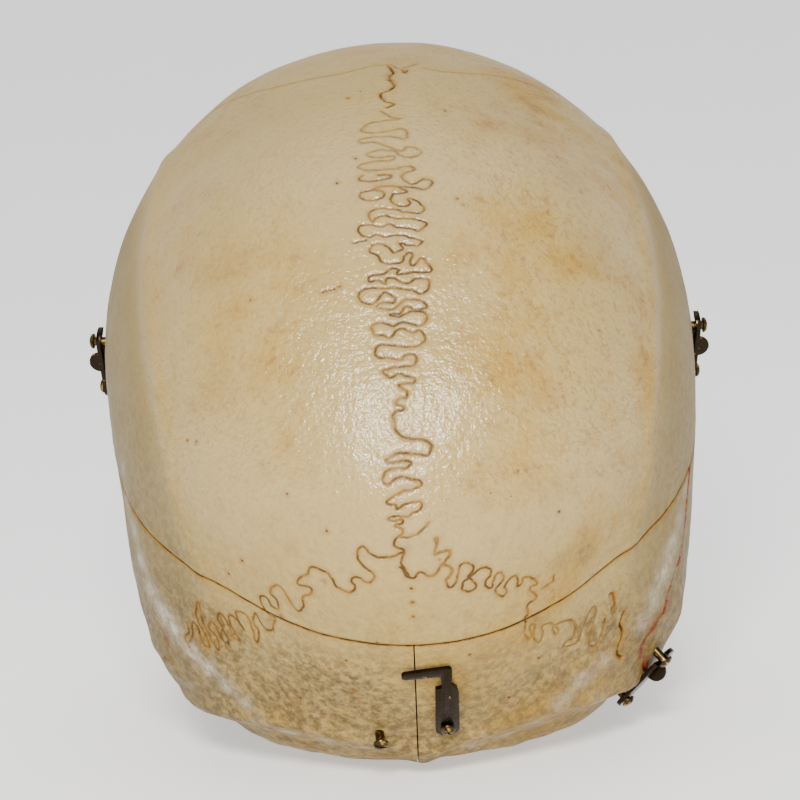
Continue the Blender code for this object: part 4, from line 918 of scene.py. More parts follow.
class Nodes:
    """Short hand for building a material's nodes."""

    def __init__(self, tree: bpy.types.NodeTree) -> None:
        """Works on one node tree."""
        self.tree = tree

    def add(self, kind: str, values: dict | None = None, **settings: object) -> bpy.types.Node:
        """Adds a node, with its settings and its input values."""
        made = self.tree.nodes.new(kind)
        for key, value in settings.items():
            setattr(made, key, value)
        self.feed(made, values or {})
        return made

    def feed(self, node: bpy.types.Node, values: dict) -> None:
        """Links the node's inputs, or gives them plain values."""
        for key, value in values.items():
            if isinstance(value, Socket):
                self.tree.links.new(value, node.inputs[key])
            else:
                node.inputs[key].default_value = value

    def mix(self, share: object, first: object, second: object) -> Socket:
        """Mixes two colours by a share."""
        return self.add("ShaderNodeMix", {0: share, 6: first, 7: second}, data_type="RGBA").outputs[2]

    def math(self, operation: str, first: object, second: object = 0.0, clamp: bool = False) -> Socket:
        """One sum on two values."""
        made = self.add("ShaderNodeMath", {0: first, 1: second}, operation=operation, use_clamp=clamp)
        return made.outputs[0]

    def times(self, first: object, second: object, clamp: bool = False) -> Socket:
        """The product of two values."""
        return self.math("MULTIPLY", first, second, clamp)

    def plus(self, first: object, second: object) -> Socket:
        """The sum of two values."""
        return self.math("ADD", first, second)

    def bump(self, strength: float, distance: float, height: Socket, more: dict | None = None) -> Socket:
        """The surface normal, bent by a height."""
        values = {"Strength": strength, "Distance": distance, "Height": height, **(more or {})}
        return self.add("ShaderNodeBump", values).outputs[0]

    def step(self, value: object, low: float, high: float, start: float = 0.0, end: float = 1.0) -> Socket:
        """A soft step from start to end as the value goes from low to high."""
        made = self.add(
            "ShaderNodeMapRange",
            {"Value": value, "From Min": low, "From Max": high, "To Min": start, "To Max": end},
            interpolation_type="SMOOTHSTEP",
        )
        return made.outputs[0]

    def noise(self, place: object, scale: float, detail: float = 3.0, roughness: float = 0.5) -> Socket:
        """Cloudy noise over the place."""
        values = {"Vector": place, "Scale": scale, "Detail": detail, "Roughness": roughness}
        return self.add("ShaderNodeTexNoise", values).outputs["Fac"]

    def place(self) -> Socket:
        """The Object coordinates."""
        return self.add("ShaderNodeTexCoord").outputs["Object"]

    def value(self, name: str) -> Socket:
        """A value stored on the mesh's vertices."""
        return self.add("ShaderNodeAttribute", attribute_name=name).outputs["Fac"]


def effect(name: str, outputs: Sequence[str], build: Callable) -> bpy.types.NodeTree:
    """A shared node group.

    Args:
        name: the group's name.
        outputs: its value outputs.
        build: fills the group and returns the sockets for the outputs.

    Returns:
        The group's node tree.
    """
    tree = bpy.data.node_groups.new(name, "ShaderNodeTree")
    tree.interface.new_socket("Place", in_out="INPUT", socket_type="NodeSocketVector")
    for key in outputs:
        tree.interface.new_socket(key, in_out="OUTPUT", socket_type="NodeSocketFloat")
    nodes = Nodes(tree)
    entry, leave = nodes.add("NodeGroupInput"), nodes.add("NodeGroupOutput")
    for key, socket in zip(outputs, build(nodes, entry.outputs)):
        tree.links.new(socket, leave.inputs[key])
    return tree


def mottle(nodes: Nodes, entry: bpy.types.NodeOutputs) -> tuple[Socket, ...]:
    """Broad clouds, smaller stains and fine flecks."""
    place = entry["Place"]
    clouds = nodes.step(nodes.noise(place, 38.0, 4.0, 0.6), 0.42, 0.66)
    stains = nodes.step(nodes.noise(place, 200.0, 6.0, 0.72), 0.47, 0.7)
    flecks = nodes.step(nodes.noise(place, 800.0, 3.0, 0.6), 0.5, 0.68)
    return clouds, nodes.times(stains, nodes.plus(clouds, 0.35)), flecks


def pores(nodes: Nodes, entry: bpy.types.NodeOutputs) -> tuple[Socket, ...]:
    """Scattered pin holes, and the pebbled grain between them."""
    place = entry["Place"]
    cells = nodes.add("ShaderNodeTexVoronoi", {"Vector": place, "Scale": 170.0, "Randomness": 1.0}, feature="F1")
    here = nodes.noise(place, 60.0, 2.0, 0.5)
    hole = nodes.math("LESS_THAN", cells.outputs["Distance"], nodes.step(here, 0.5, 0.8, 0.0, 0.085))
    dimples = nodes.noise(place, 230.0, 2.0, 0.5)
    pebbles = nodes.noise(place, 900.0, 2.0, 0.5)
    grain = nodes.noise(place, 2400.0, 2.0, 0.6)
    height = nodes.plus(nodes.times(dimples, 0.45), nodes.times(pebbles, 0.4))
    return hole, nodes.plus(height, nodes.times(grain, 0.1))


def new_material(name: str, colour: Colour) -> tuple[bpy.types.Material, Nodes, bpy.types.Node]:
    """A new material with its plain preview colour, its nodes and its main shader."""
    made = bpy.data.materials.new(name)
    made.use_nodes = True
    made.diffuse_color = colour
    return made, Nodes(made.node_tree), made.node_tree.nodes["Principled BSDF"]


@dataclass(frozen=True)
class BoneFinish:
    """Dry bone under an old, glossy varnish."""

    name: str = "bone"
    cream: Colour = (0.43, 0.306, 0.105, 1.0)
    ochre: Colour = (0.39, 0.236, 0.038, 1.0)
    rust: Colour = (0.27, 0.13, 0.022, 1.0)
    olive: Colour = (0.25, 0.186, 0.07, 1.0)
    amber: Colour = (0.24, 0.105, 0.01, 1.0)
    # Grime colour, also used for the painted shade down the back and under the skull.
    grime: Colour = (0.115, 0.074, 0.024, 1.0)
    freckle: Colour = (0.12, 0.022, 0.008, 1.0)
    # Pale colour of the painted sheen along the low flanks.
    painted_sheen: Colour = (0.52, 0.47, 0.39, 1.0)
    soot: Colour = (0.04, 0.02, 0.007, 1.0)
    paint: Colour = (0.17, 0.01, 0.004, 1.0)

    def tint(self, nodes: Nodes, place: Socket, group: bpy.types.Node) -> Socket:
        """The bone's own colour, before seams and stains."""
        clouds, stains, flecks = group.outputs
        warm, rough = nodes.value("warm"), nodes.value("rough")
        speckle = nodes.step(nodes.noise(place, 700.0, 5.0, 0.7), 0.4, 0.66)
        colour = nodes.mix(nodes.times(clouds, nodes.times(warm, 0.85)), self.cream, self.ochre)
        patches = nodes.times(stains, nodes.times(warm, nodes.plus(speckle, 0.3)))
        colour = nodes.mix(nodes.times(patches, 0.75), colour, self.rust)
        colour = nodes.mix(nodes.times(nodes.value("temple"), 0.85), colour, self.olive)
        colour = nodes.mix(nodes.times(flecks, nodes.plus(nodes.times(warm, 0.2), 0.12)), colour, self.rust)
        worm_eaten = nodes.step(nodes.noise(place, 260.0, 5.0, 0.7), 0.45, 0.75)
        return nodes.mix(nodes.times(rough, worm_eaten), colour, self.rust)

    def marks(self, nodes: Nodes, place: Socket, colour: Socket, line: Socket) -> Socket:
        """The colour with its stains, painted shade, painted sheen, seams and paint laid over it.

        Args:
            nodes: the material's nodes.
            place: where on the bone this is.
            colour: the bone's own colour.
            line: how much of a seam's line lies here.

        Returns:
            The finished colour.
        """
        blotch = nodes.step(nodes.noise(place, 520.0, 4.0, 0.7), 0.32, 0.66, 0.25, 1.0)
        colour = nodes.mix(nodes.times(nodes.value("amber"), blotch, clamp=True), colour, self.amber)
        # Grime smudges and painted shade darken the colour here.
        colour = nodes.mix(nodes.times(nodes.value("grime"), blotch, clamp=True), colour, self.grime)
        colour = nodes.mix(nodes.times(nodes.value("freckle"), 0.9, clamp=True), colour, self.freckle)
        # Painted sheen: pale streaks where the low flanks would reflect the table.
        sheen_streaks = nodes.step(nodes.noise(place, 420.0, 6.0, 0.75), 0.38, 0.64, 0.3, 0.95)
        colour = nodes.mix(nodes.times(nodes.value("painted_sheen"), sheen_streaks, clamp=True), colour, self.painted_sheen)
        seam, tone = nodes.value("seam"), nodes.value("seam_tone")
        halo = nodes.times(nodes.step(seam, 0.25, 1.5, 0.34, 0.0), tone, clamp=True)
        colour = nodes.mix(halo, colour, self.rust)
        broken = nodes.noise(place, 330.0, 3.0, 0.6)
        ink = nodes.mix(nodes.step(broken, 0.4, 0.58, 0.3, 0.85), self.amber, self.soot)
        share = nodes.times(line, nodes.step(broken, 0.34, 0.6, 0.62, 0.92), clamp=True)
        colour = nodes.mix(share, colour, ink)
        flaked = nodes.step(nodes.noise(place, 300.0, 4.0, 0.7), 0.42, 0.56)
        return nodes.mix(nodes.times(nodes.value("paint"), flaked, clamp=True), colour, self.paint)

    def material(self, groups: dict[str, bpy.types.NodeTree]) -> bpy.types.Material:
        """The bone's material, from the shared effects."""
        made, nodes, shader = new_material(self.name, self.cream)
        place = nodes.place()
        mottling = nodes.add("ShaderNodeGroup", node_tree=groups["mottle"])
        pitting = nodes.add("ShaderNodeGroup", node_tree=groups["pores"])
        for group in (mottling, pitting):
            made.node_tree.links.new(place, group.inputs["Place"])
        hole, height = pitting.outputs
        rough, temple = nodes.value("rough"), nodes.value("temple")
        near = nodes.step(nodes.value("seam"), 0.15, 0.42, 1.0, 0.0)
        line = nodes.times(near, nodes.value("seam_tone"), clamp=True)
        colour = self.marks(nodes, place, self.tint(nodes, place, mottling), line)
        # Painted shade in the pin holes: each hole is darkened towards soot.
        colour = nodes.mix(nodes.times(hole, 0.75), colour, self.soot)
        worn = nodes.step(nodes.noise(place, 90.0, 4.0, 0.6), 0.3, 0.7, 0.3, 0.42)
        matt = nodes.plus(rough, nodes.math("SUBTRACT", 1.0, nodes.value("shine")))
        calm = nodes.math("SUBTRACT", 1.0, nodes.times(temple, 0.65))
        grain = nodes.bump(0.8, 0.0011, nodes.times(height, calm))
        pits = nodes.bump(0.8, 0.0003, nodes.times(hole, -1.0), {"Normal": grain})
        clean = nodes.math("SUBTRACT", nodes.value("shine"), nodes.times(line, 0.8), clamp=True)
        nodes.feed(shader, {
            "Base Color": colour,
            "Roughness": nodes.plus(worn, nodes.times(matt, 0.2)),
            "Normal": pits,
            "Coat Normal": pits,
            "Coat Weight": nodes.times(clean, 0.9),
            "Coat Roughness": 0.17,
            "Specular IOR Level": nodes.plus(nodes.times(clean, 0.25), 0.08),
            "Subsurface Weight": 0.05,
            "Subsurface Scale": 0.0015,
        })
        return made


@dataclass
class ToothFinish:
    """Old teeth: ivory crowns, darker at the neck."""

    name: str = "tooth"
    crown: Colour = (0.46, 0.375, 0.205, 1.0)
    neck: Colour = (0.32, 0.2, 0.07, 1.0)

    def material(self) -> bpy.types.Material:
        """The teeth's material."""
        made, nodes, shader = new_material(self.name, self.crown)
        place = nodes.place()
        share = nodes.plus(nodes.value("crown"), nodes.times(nodes.noise(place, 300.0), 0.3))
        colour = nodes.mix(nodes.step(share, 0.25, 0.75), self.neck, self.crown)
        cracks = nodes.step(nodes.noise(place, 700.0, 4.0, 0.7), 0.6, 0.72, 0.0, 0.35)
        colour = nodes.mix(cracks, colour, self.neck)
        nodes.feed(shader, {
            "Base Color": colour,
            "Roughness": nodes.step(share, 0.0, 1.0, 0.45, 0.22),
            "Normal": nodes.bump(0.3, 0.0002, nodes.noise(place, 500.0)),
        })
        return made


@dataclass
class BrassFinish:
    """Brass hook metal, blackened, with bright worn places."""

    name: str
    dark: Colour
    bright: Colour = (0.62, 0.4, 0.14, 1.0)
    wear: float = 0.62

    def material(self) -> bpy.types.Material:
        """The metal's material."""
        made, nodes, shader = new_material(self.name, self.dark)
        place = nodes.place()
        worn = nodes.step(nodes.noise(place, 520.0, 5.0, 0.65), self.wear, self.wear + 0.14)
        colour = nodes.mix(worn, self.dark, self.bright)
        nodes.feed(shader, {
            "Base Color": colour,
            "Roughness": nodes.step(nodes.noise(place, 900.0), 0.3, 0.7, 0.24, 0.45),
            "Normal": nodes.bump(0.25, 0.0001, nodes.noise(place, 2400.0)),
            "Metallic": 1.0,
        })
        return made


def finish_piece(
    piece: Body,
    material: bpy.types.Material,
    nodes: Sequence[str],
    angle: float,
    place: Matrix = POSE,
) -> None:
    """Tips a piece into the rest pose, shades it and ties it to the solids that it stands for.

    Args:
        piece: the finished mesh.
        material: its finish.
        nodes: the solids that it stands for.
        angle: the sharpest fold, in degrees, that still looks smooth.
        place: what moves the mesh to its place in the world.
    """
    piece.data.transform(place)
    Bench.set_points(piece, np.clip(Bench.points(piece), *np.array(CAD_BOX)))
    piece.data.materials.clear()
    piece.data.materials.append(material)
    Bench.pick(piece)
    bpy.ops.object.shade_smooth_by_angle(angle=math.radians(angle))
    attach(piece, "root")
    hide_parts(*nodes)
    log.info("%s: %d faces", piece.name, len(piece.data.polygons))


@dataclass
class Shades:
    """Where the bone is warm, grey, rough or painted, and where painted shade and painted sheen lie on it."""

    vault: Vault
    cuts: Cuts
    picture: Picture

    def stains(self, piece: Body, points: Array) -> None:
        """Stores how strongly each kind of stain, painted shade and painted sheen colours the piece."""
        for kind, stains in STAINS_SEEN.items():
            centres = self.vault.seen_at(self.picture, np.array([stain[:2] for stain in stains], float))
            # Grime also gets the painted shade down the back, under the skull and on the low flanks.
            strength = self.low_grime(points) if kind is Stain.GRIME else np.zeros(len(points))
            for (_, _, radius, power), centre in zip(stains, centres):
                distance = np.linalg.norm(points - centre, axis=1)
                strength += power * np.exp(-((distance / (radius * 0.001)) ** 2))
            Bench.paint(piece, kind.value, np.clip(strength, 0, 1))

    @staticmethod
    def low_grime(points: Array) -> Array:
        """Painted shade that thickens down the back and under the skull, more on its left, and along the low flanks.
        """
        x, y, z = points.T
        shade_below = fade(z, 0.08, 0.045) * fade(y, -0.02, 0.03) * (1 + 3.0 * x)
        # Painted shade on the low flanks.
        flank_shade = 0.34 * fade(np.abs(x), 0.04, 0.06) * fade(z, 0.09, 0.06)
        return (0.26 + 0.62 * fade(z, 0.036, 0.016)) * shade_below + flank_shade

    def put_on(self, piece: Body) -> None:
        """Stores the shades on the piece's vertices, in the upright frame."""
        points = Bench.points(piece)
        x, y, z = points.T
        out = np.abs(x)
        oval = (y / 0.068) ** 2 + ((z - 0.015) / 0.076) ** 2
        temple = fade(out, 0.028, 0.04) * fade(oval, 1.04, 0.78) ** 0.8
        warm = 0.45 + 0.75 * bell((out, 0.036, 0.02), (z, 0.088, 0.03))
        warm += 0.55 * fade(z, 0.036, 0.006) * fade(y, 0.02, 0.05) + 0.6 * np.clip(-x / 0.03, -0.4, 1)
        warm *= 1 - 0.7 * bell((x, 0, 0.045), (y, 0.08, 0.035), (z, 0.062, 0.016))
        self.stains(piece, points)
        face = fade(y, -0.045, -0.065) * fade(z, 0.03, 0.02)
        mastoid = bell((out, 0.055, 0.012), (y, 0.04, 0.016), (z, -0.004, 0.016))
        dull = fade(z, 0.079, 0.049) + 0.7 * temple + 0.6 * fade(out, 0.048, 0.063)
        Bench.paint(piece, "temple", temple)
        Bench.paint(piece, "warm", np.clip(warm, 0.1, 1.6))
        Bench.paint(piece, "rough", np.clip(0.45 * face + 0.9 * mastoid + 0.35 * fade(z, 0, -0.02), 0, 1))
        Bench.paint(piece, "shine", np.clip((y + 0.02) / 0.04, 0.15, 1) * (1 - 0.9 * np.clip(dull, 0, 1)))
        Bench.paint(piece, "paint", self.paint(points))

    def paint(self, points: Array) -> Array:
        """How much red paint lies near the ear block's saw cut."""
        outline = smooth_path(self.cuts.block_outline[3:10], 10)
        near = np.full(len(points), 1.0)
        right = np.nonzero(points[:, 0] < -0.03)[0]
        for y, z in outline:
            near[right] = np.minimum(near[right], np.hypot(points[right, 1] - y, points[right, 2] - z))
        return np.clip(1.3 - near / 0.0011, 0, 1)


class Face:
    """The upper face and the skull's underside: what is melted onto the vault, and what is hollowed out."""

    @staticmethod
    def stacked(name: str, sections: Sequence[Point], squareness: float) -> Body:
        """A body over level sections in millimetres: z, half width, front y and back y."""
        rings = []
        for z, width, front, back in smooth_path(from_mm(sections), 5):
            rings.append(ring((0, (front + back) / 2, z), (width, 0, 0), (0, (back - front) / 2, 0), 48, squareness))
        return loft(name, rings)

    @staticmethod
    def upright(name: str, sections: Sequence[Point], squareness: float) -> Body:
        """A body over upright sections in millimetres: y, half width, low z and high z."""
        rings = []
        for y, width, low, high in smooth_path(from_mm(sections), 5):
            rings.append(ring((0, y, (low + high) / 2), (width, 0, 0), (0, 0, (high - low) / 2), 48, squareness))
        return loft(name, rings)

    def brows(self) -> list[Body]:
        """The brow ridges, down to the outer rims of the eye sockets."""
        return bars("brow", [
            (3, -91.5, 30, 5.5, 6), (16, -91.5, 36, 5.5, 6), (30, -88, 37.5, 4.8, 5), (42.5, -80, 33.5, 4.2, 4.5),
            (50, -72, 25, 4.2, 4.5), (52, -69.5, 15, 4.2, 4.5),
        ], up=(0.0, -1.0, 0.3))

    def cheeks(self) -> list[Body]:
        """The cheek bones and their arches."""
        pieces = bars("cheek_post", [
            (52, -69.5, 17, 4.2, 5.2), (50.8, -68.5, 6, 4.2, 6.2), (48, -68, -4, 5, 8),
        ], up=FORWARD)
        pieces += knobs("cheek", (46, -67, -11.5), (13, 6.8, 12), (0, 0, 38))
        pieces += bars("cheek_buttress", [
            (44, -65, -15, 8, 6), (37, -62, -23, 7.5, 6), (30, -58, -32, 6, 5),
        ], up=FORWARD)
        pieces += bars("arch", [
            (49, -64, -9, 4, 9), (56.5, -53.5, -7, 3.2, 7), (61.8, -41.5, -5.5, 2.9, 5.6),
            (63.8, -30, -5, 2.8, 4.8), (63.5, -19, -4, 3, 4.6), (61.5, -9, -1, 4, 4.8), (57, 1, 4, 4.5, 5),
        ])
        pieces += bars("arch_root", [
            (62.5, -16, -4.5, 3.5, 3), (56, -18.5, -6, 5, 3.8), (44, -20, -7.5, 5.5, 4.2),
        ])
        return pieces

    def middle(self) -> list[Body]:
        """The walls of the eye sockets, the nose and the upper jaw."""
        pieces = bars("lower_orbit_rim", [
            (47, -69, -3.5, 4.5, 4.5), (37, -77.5, -5.5, 4.8, 4.5), (25, -83, -3.5, 4.5, 4.5),
            (15, -85, 5, 4.2, 4.2), (10.5, -86, 15, 4.2, 4.2), (8, -88, 26, 4.5, 4.5),
        ], up=FORWARD)
        pieces.append(self.upright("orbit_block", [
            (-83, 40, -6, 36), (-74, 48.5, -8, 37), (-64, 47, -8.5, 37), (-52, 40, -8.5, 36), (-40, 35, -9, 32),
            (-28, 30, -8, 30),
        ], 3.2))
        pieces.append(self.stacked("maxilla", [
            (6, 22, -87, -44), (-4, 38.5, -82, -44), (-12, 38.5, -81, -44), (-20, 34.5, -84, -43),
            (-29, 33, -90, -41.5), (-37, 34, -94.5, -40.5), (-42.5, 33, -95.8, -41),
        ], 2.5))
        pieces.append(bar("nose_bridge", [
            (0, -86, 32, 6, 5), (0, -88, 23, 4.5, 4), (0, -94, 12, 4.5, 3.5), (0, -99, 3.5, 5.5, 3.2),
            (0, -100.5, 0.5, 5, 2.8),
        ], up=FORWARD))
        pieces += bars("nose_side", [
            (5.5, -86.5, 26, 4, 4), (6.5, -89.5, 15, 4, 4.5), (8.5, -91.5, 4, 3.5, 4.5),
            (12.5, -87.5, -6, 3.5, 4.2), (15, -86.5, -16, 3.2, 3.6), (13.5, -88, -25, 3.2, 3.4),
            (6, -91, -29.5, 3.4, 3.4), (0.5, -93, -28.5, 3.2, 3.4),
        ], up=FORWARD)
        pieces.append(bar("nasal_spine", [
            (0, -88, -28.5, 3, 2.6), (0, -95, -27, 1.8, 1.8), (0, -98, -26.2, 1, 1),
        ]))
        pieces += self.tooth_swellings()
        return pieces

    def tooth_swellings(self) -> list[Body]:
        """The long swellings over the roots of the upper front teeth."""
        pieces = []
        for x, y, low, high in ((4.5, -95, -42, -34), (11.5, -92.5, -42, -33),
                                (17.8, -88.5, -42, -26), (22.5, -82, -42, -31)):
            pieces += bars("root_swelling", [
                (x, y, low, 2.6, 2), (x * 0.98, y + 1.2, (low + high) / 2, 2.4, 1.8),
                (x * 0.94, y + 3.5, high, 1.6, 1.2),
            ], up=FORWARD)
        return pieces

    def underside(self) -> list[Body]:
        """The mastoids, condyles, basilar part, pterygoid plates and styloids."""
        pieces = bars("mastoid", [
            (49, 19, 4, 12, 14), (50, 15, -8, 10.5, 13), (50, 11.5, -19, 8.5, 9.5), (49.5, 9, -27.5, 5.5, 6),
            (49.2, 8, -30.5, 2.5, 2.5),
        ], up=BACKWARD, sides=28)
        pieces += bars("ear_rim", [(46, -1.5, -6, 8.5, 8), (57, -1, -5.5, 7.5, 7.5), (60, -1, -5, 6.8, 6.8)])
        pieces += bars("petrous", [
            (52, 2, -10, 8.5, 9), (38, 0, -15, 8.5, 8.5), (24, -7, -15, 7, 6.5), (13, -15, -12, 5, 5),
        ])
        pieces += knobs("condyle", (17, 8, -27), (5.5, 11.5, 5.8), (0, -18, -22))
        pieces.append(bar("basilar_part", [
            (0, 6, -24.5, 14, 4), (0, -6, -18.5, 11.5, 5.5), (0, -20, -9, 11, 6.5), (0, -34, -2, 12, 8),
        ]))
        pieces += bars("outer_pterygoid_plate", [
            (19, -36, -4, 2.2, 6.5), (18.5, -37, -18, 1.9, 7), (20, -36, -29, 1.7, 5.5),
            (20.5, -36.5, -34.5, 1.4, 3),
        ], up=BACKWARD)
        pieces += bars("inner_pterygoid_plate", [
            (13, -39, -6, 2, 4.5), (12.5, -41, -20, 1.7, 4.2), (13, -42, -32, 1.5, 2.5), (15, -40, -36.5, 1.4, 1.4),
        ], up=BACKWARD)
        pieces += bars("styloid", [
            (35, -1, -16, 3.6, 3.6), (34, -4, -26, 2.2, 2.2), (31.5, -8, -38, 1.7, 1.7), (30, -10.5, -45, 1.2, 1.2),
        ], up=BACKWARD)
        return pieces

    @staticmethod
    def orbit(side: Side) -> Body:
        """The hollow of one eye socket, from its apex out through the rim."""
        apex = np.array((0.012 * side.value, -0.044, 0.0175))
        axis = unit(np.array((0.41 * side.value, -0.912, -0.02)))
        across = unit(np.cross(axis, (0.0, 0.0, 1.0)))
        upright = np.cross(across, axis)
        depths = (
            (0.0, 0.0035, 0.0035), (0.01, 0.009, 0.0095), (0.022, 0.015, 0.0145), (0.033, 0.0188, 0.017),
            (0.041, 0.0192, 0.0168), (0.05, 0.0205, 0.0178), (0.064, 0.024, 0.0205), (0.082, 0.03, 0.025),
        )
        rings = [ring(apex + axis * d, across * w, upright * h, 48, 2.5) for d, w, h in smooth_path(depths, 4)]
        return loft("orbit_hollow", rings)

    def hollows(self) -> list[list[Body]]:
        """The hollows, in groups whose members don't touch each other."""
        nose = [
            (0.0, 0.001), (0.004, -0.0005), (0.0072, -0.007), (0.0108, -0.015), (0.0118, -0.0205),
            (0.0098, -0.025), (0.0045, -0.0272), (0.0, -0.0262),
        ]
        nose += [(-x, z) for x, z in reversed(nose[1:-1])]
        passage = [(-0.01, -0.009), (0.01, -0.009), (0.0115, -0.018), (0.0095, -0.025), (-0.0095, -0.025),
                   (-0.0115, -0.018)]
        first = [self.orbit(Side.LEFT), self.orbit(Side.RIGHT), prism("nose_hollow", nose, "xz", -0.12, -0.052)]
        first.append(knob("palate_hollow", (0.0, -66, -43), (18.5, 21, 12)))
        first.append(knob("great_hole", (0.0, 22, -24), (15, 18, 22)))
        first += knobs("ear_hole", (62, -1, -5), (13, 4, 4.8))
        first += knobs("jugular_hole", (25.5, 6, -24), (5, 4.5, 7))
        first += knobs("carotid_hole", (27, -6, -24), (3.2, 3.5, 7))
        first += knobs("oval_hole", (23.5, -24, -10), (2.6, 3.8, 7))
        first += knobs("canine_hollow", (27, -90, -16.5), (9, 7.5, 8), (0, 0, 20))
        second = [prism("nose_passage", passage, "xz", -0.054, -0.02)]
        second.append(knob("palate_back", (0.0, -50, -44), (18, 18, 13)))
        second += knobs("jaw_socket", (49.5, -11.8, -6), (13, 8, 8.5), (0, 0, -12))
        second += bars("digastric_groove", [
            (38.5, 32, -20, 2.6, 4.5), (39, 20, -21.5, 2.6, 5), (40, 8, -23.5, 2.4, 4.5),
        ])
        third = knobs("cheek_hole", (27, -86, -11.5), (1.6, 6, 1.3))
        third += knobs("brow_hole", (21.5, -90, 33.5), (1.3, 5, 1.1))
        third += knobs("mastoid_hole", (50, 40, -8), (4, 4, 1.2), (0, 40, 40))
        return [first, second, third]

    def nose_inside(self) -> list[Body]:
        """The septum and the lower shells in the nasal opening."""
        pieces = [block("septum", (-0.0016, -0.084, -0.028), (0.0016, -0.045, 0.003))]
        return pieces + knobs("nose_shell", (9.2, -66, -17.5), (3, 14, 4.2))


@dataclass
class Cranium:
    """The braincase and face: the cap, the two halves of the base and the sawn ear block."""

    vault: Vault
    seams: Seams
    cuts: Cuts
    shades: Shades
    face: Face = field(default_factory=Face)
    voxel: float = 0.00095
    cap_nodes: tuple[str, ...] = ("frontal_cap", "parietal_cap_left", "parietal_cap_right", "occipital_cap")
    half_nodes: tuple[str, ...] = ("frontal", "zygomatic", "nasal", "maxilla", "sphenoid", "occipital")

    def cap(self, finish: bpy.types.Material) -> Body:
        """The skull cap, sawn off along its level cut."""
        cap = self.vault.sphere("cap", 7)
        height = self.cuts.cap_saw(0.0) + 0.5 * GAP
        Bench.pick(cap)
        bpy.ops.object.mode_set(mode="EDIT")
        bpy.ops.mesh.select_all(action="SELECT")
        bpy.ops.mesh.bisect(
            plane_co=(0, 0, height), plane_no=(0, self.cuts.cap_rise, 1), use_fill=True, clear_inner=True
        )
        bpy.ops.object.mode_set(mode="OBJECT")
        self.seams.refine(cap)
        outer = np.zeros(len(cap.data.vertices), bool)
        for polygon in cap.data.polygons:
            if len(polygon.vertices) < 8:
                outer[list(polygon.vertices)] = True
        self.seams.carve(cap, lambda points: outer.astype(float))
        self.shades.put_on(cap)
        finish_piece(cap, finish, self.cap_nodes, 40)
        return cap

    def solid_base(self) -> Body:
        """The whole skull melted into one body with its hollows, before it is sawn."""
        parts = [self.vault.sphere("braincase", 7)]
        parts += self.face.brows() + self.face.cheeks() + self.face.middle() + self.face.underside()
        solid = Bench.join("solid", parts)
        Bench.melt(solid, self.voxel, 3)
        for group in self.face.hollows():
            Bench.cut(solid, Bench.join("hollow", group))
        solid = Bench.join("solid", [solid, *self.face.nose_inside()])
        Bench.melt(solid, self.voxel, 3)
        Bench.largest(solid)
        above = [(0.15, self.cuts.cap_saw(0.15)), (0.15, 0.2), (-0.15, 0.2), (-0.15, self.cuts.cap_saw(-0.15))]
        Bench.cut(solid, prism("cap_saw", above, "yz", -0.1, 0.1, 0.5 * GAP))
        return Bench.cut(solid, below_floor())

    def holding(self, points: Array) -> Array:
        """How firmly the base's outer surface holds to the vault: not on the face, a hollow or a cut."""
        away = np.abs(self.vault.height(points))
        hold = np.clip(1.6 - away / 0.0006, 0, 1)
        below_saw = self.cuts.cap_saw(points[:, 1]) - points[:, 2]
        return hold * np.where(below_saw > -0.001, 1.0, 0.0)

    def base(self, finish: bpy.types.Material) -> list[Body]:
        """The two halves of the base and the ear block."""
        whole = self.solid_base()
        saw = self.cuts.midline_saw
        outline = [(saw(-0.13), -0.13), (0.12, -0.13), (0.12, 0.13), (saw(0.13), 0.13)]
        left = Bench.copy(whole, "base_left")
        Bench.cut(left, prism("left_half", outline, "xy", -0.08, 0.08), "INTERSECT")
        Bench.cut(whole, prism("left_half", outline, "xy", -0.08, 0.08, GAP))
        ear = Bench.copy(whole, "ear_block")
        Bench.cut(ear, prism("ear_part", self.cuts.block_outline, "yz", -0.09, -0.028), "INTERSECT")
        Bench.cut(whole, prism("ear_part", self.cuts.block_outline, "yz", -0.09, -0.028, self.cuts.block_gap))
        whole.name = "base_right"
        made = []
        for piece, nodes in (
            (left, [f"{bone}_left" for bone in (*self.half_nodes, "temporal", "parietal")]),
            (whole, [*(f"{bone}_right" for bone in self.half_nodes), "parietal_corner_right"]),
            (ear, ["temporal_right", "parietal_right"]),
        ):
            Bench.largest(piece)
            self.seams.refine(piece)
            self.seams.carve(piece, self.holding)
            self.shades.put_on(piece)
            finish_piece(piece, finish, nodes, 42)
            made.append(piece)
        return made


@dataclass(frozen=True)
class Arch:
    """One row of teeth: the arch that they stand on, and each tooth's sizes from the midline back."""

    name: str
    line: tuple[Point, ...]
    widths: Sequence[float]
    depths: Sequence[float]
    necks: Sequence[float]
    tips: Sequence[float]


UPPER_ARCH = Arch(
    "upper_teeth",
    ((0.0, -0.093), (0.0095, -0.0915), (0.018, -0.086), (0.0245, -0.076), (0.028, -0.06), (0.029, -0.04)),
    (0.0085, 0.0066, 0.0076, 0.007, 0.0068, 0.0103, 0.0096, 0.0084),
    (0.007, 0.0062, 0.008, 0.009, 0.0092, 0.0112, 0.0112, 0.0102),
    (-0.0425, -0.0423, -0.0422, -0.0422, -0.0422, -0.0422, -0.042, -0.0415),
    (-0.0528, -0.052, -0.0527, -0.0505, -0.05, -0.0496, -0.0492, -0.0485),
)
LOWER_ARCH = Arch(
    "lower_teeth",
    ((0.0, -0.0885), (0.007, -0.0868), (0.0135, -0.0825), (0.02, -0.074), (0.0252, -0.06), (0.0285, -0.046),
     (0.0305, -0.03)),
    (0.0054, 0.0059, 0.0069, 0.007, 0.0071, 0.011, 0.0105, 0.0098),
    (0.006, 0.0063, 0.0074, 0.0077, 0.008, 0.0103, 0.01, 0.0095),
    (-0.0585, -0.0585, -0.0585, -0.058, -0.0575, -0.057, -0.056, -0.0545),
    (-0.051, -0.051, -0.0512, -0.0511, -0.0507, -0.0503, -0.0499, -0.0492),
)


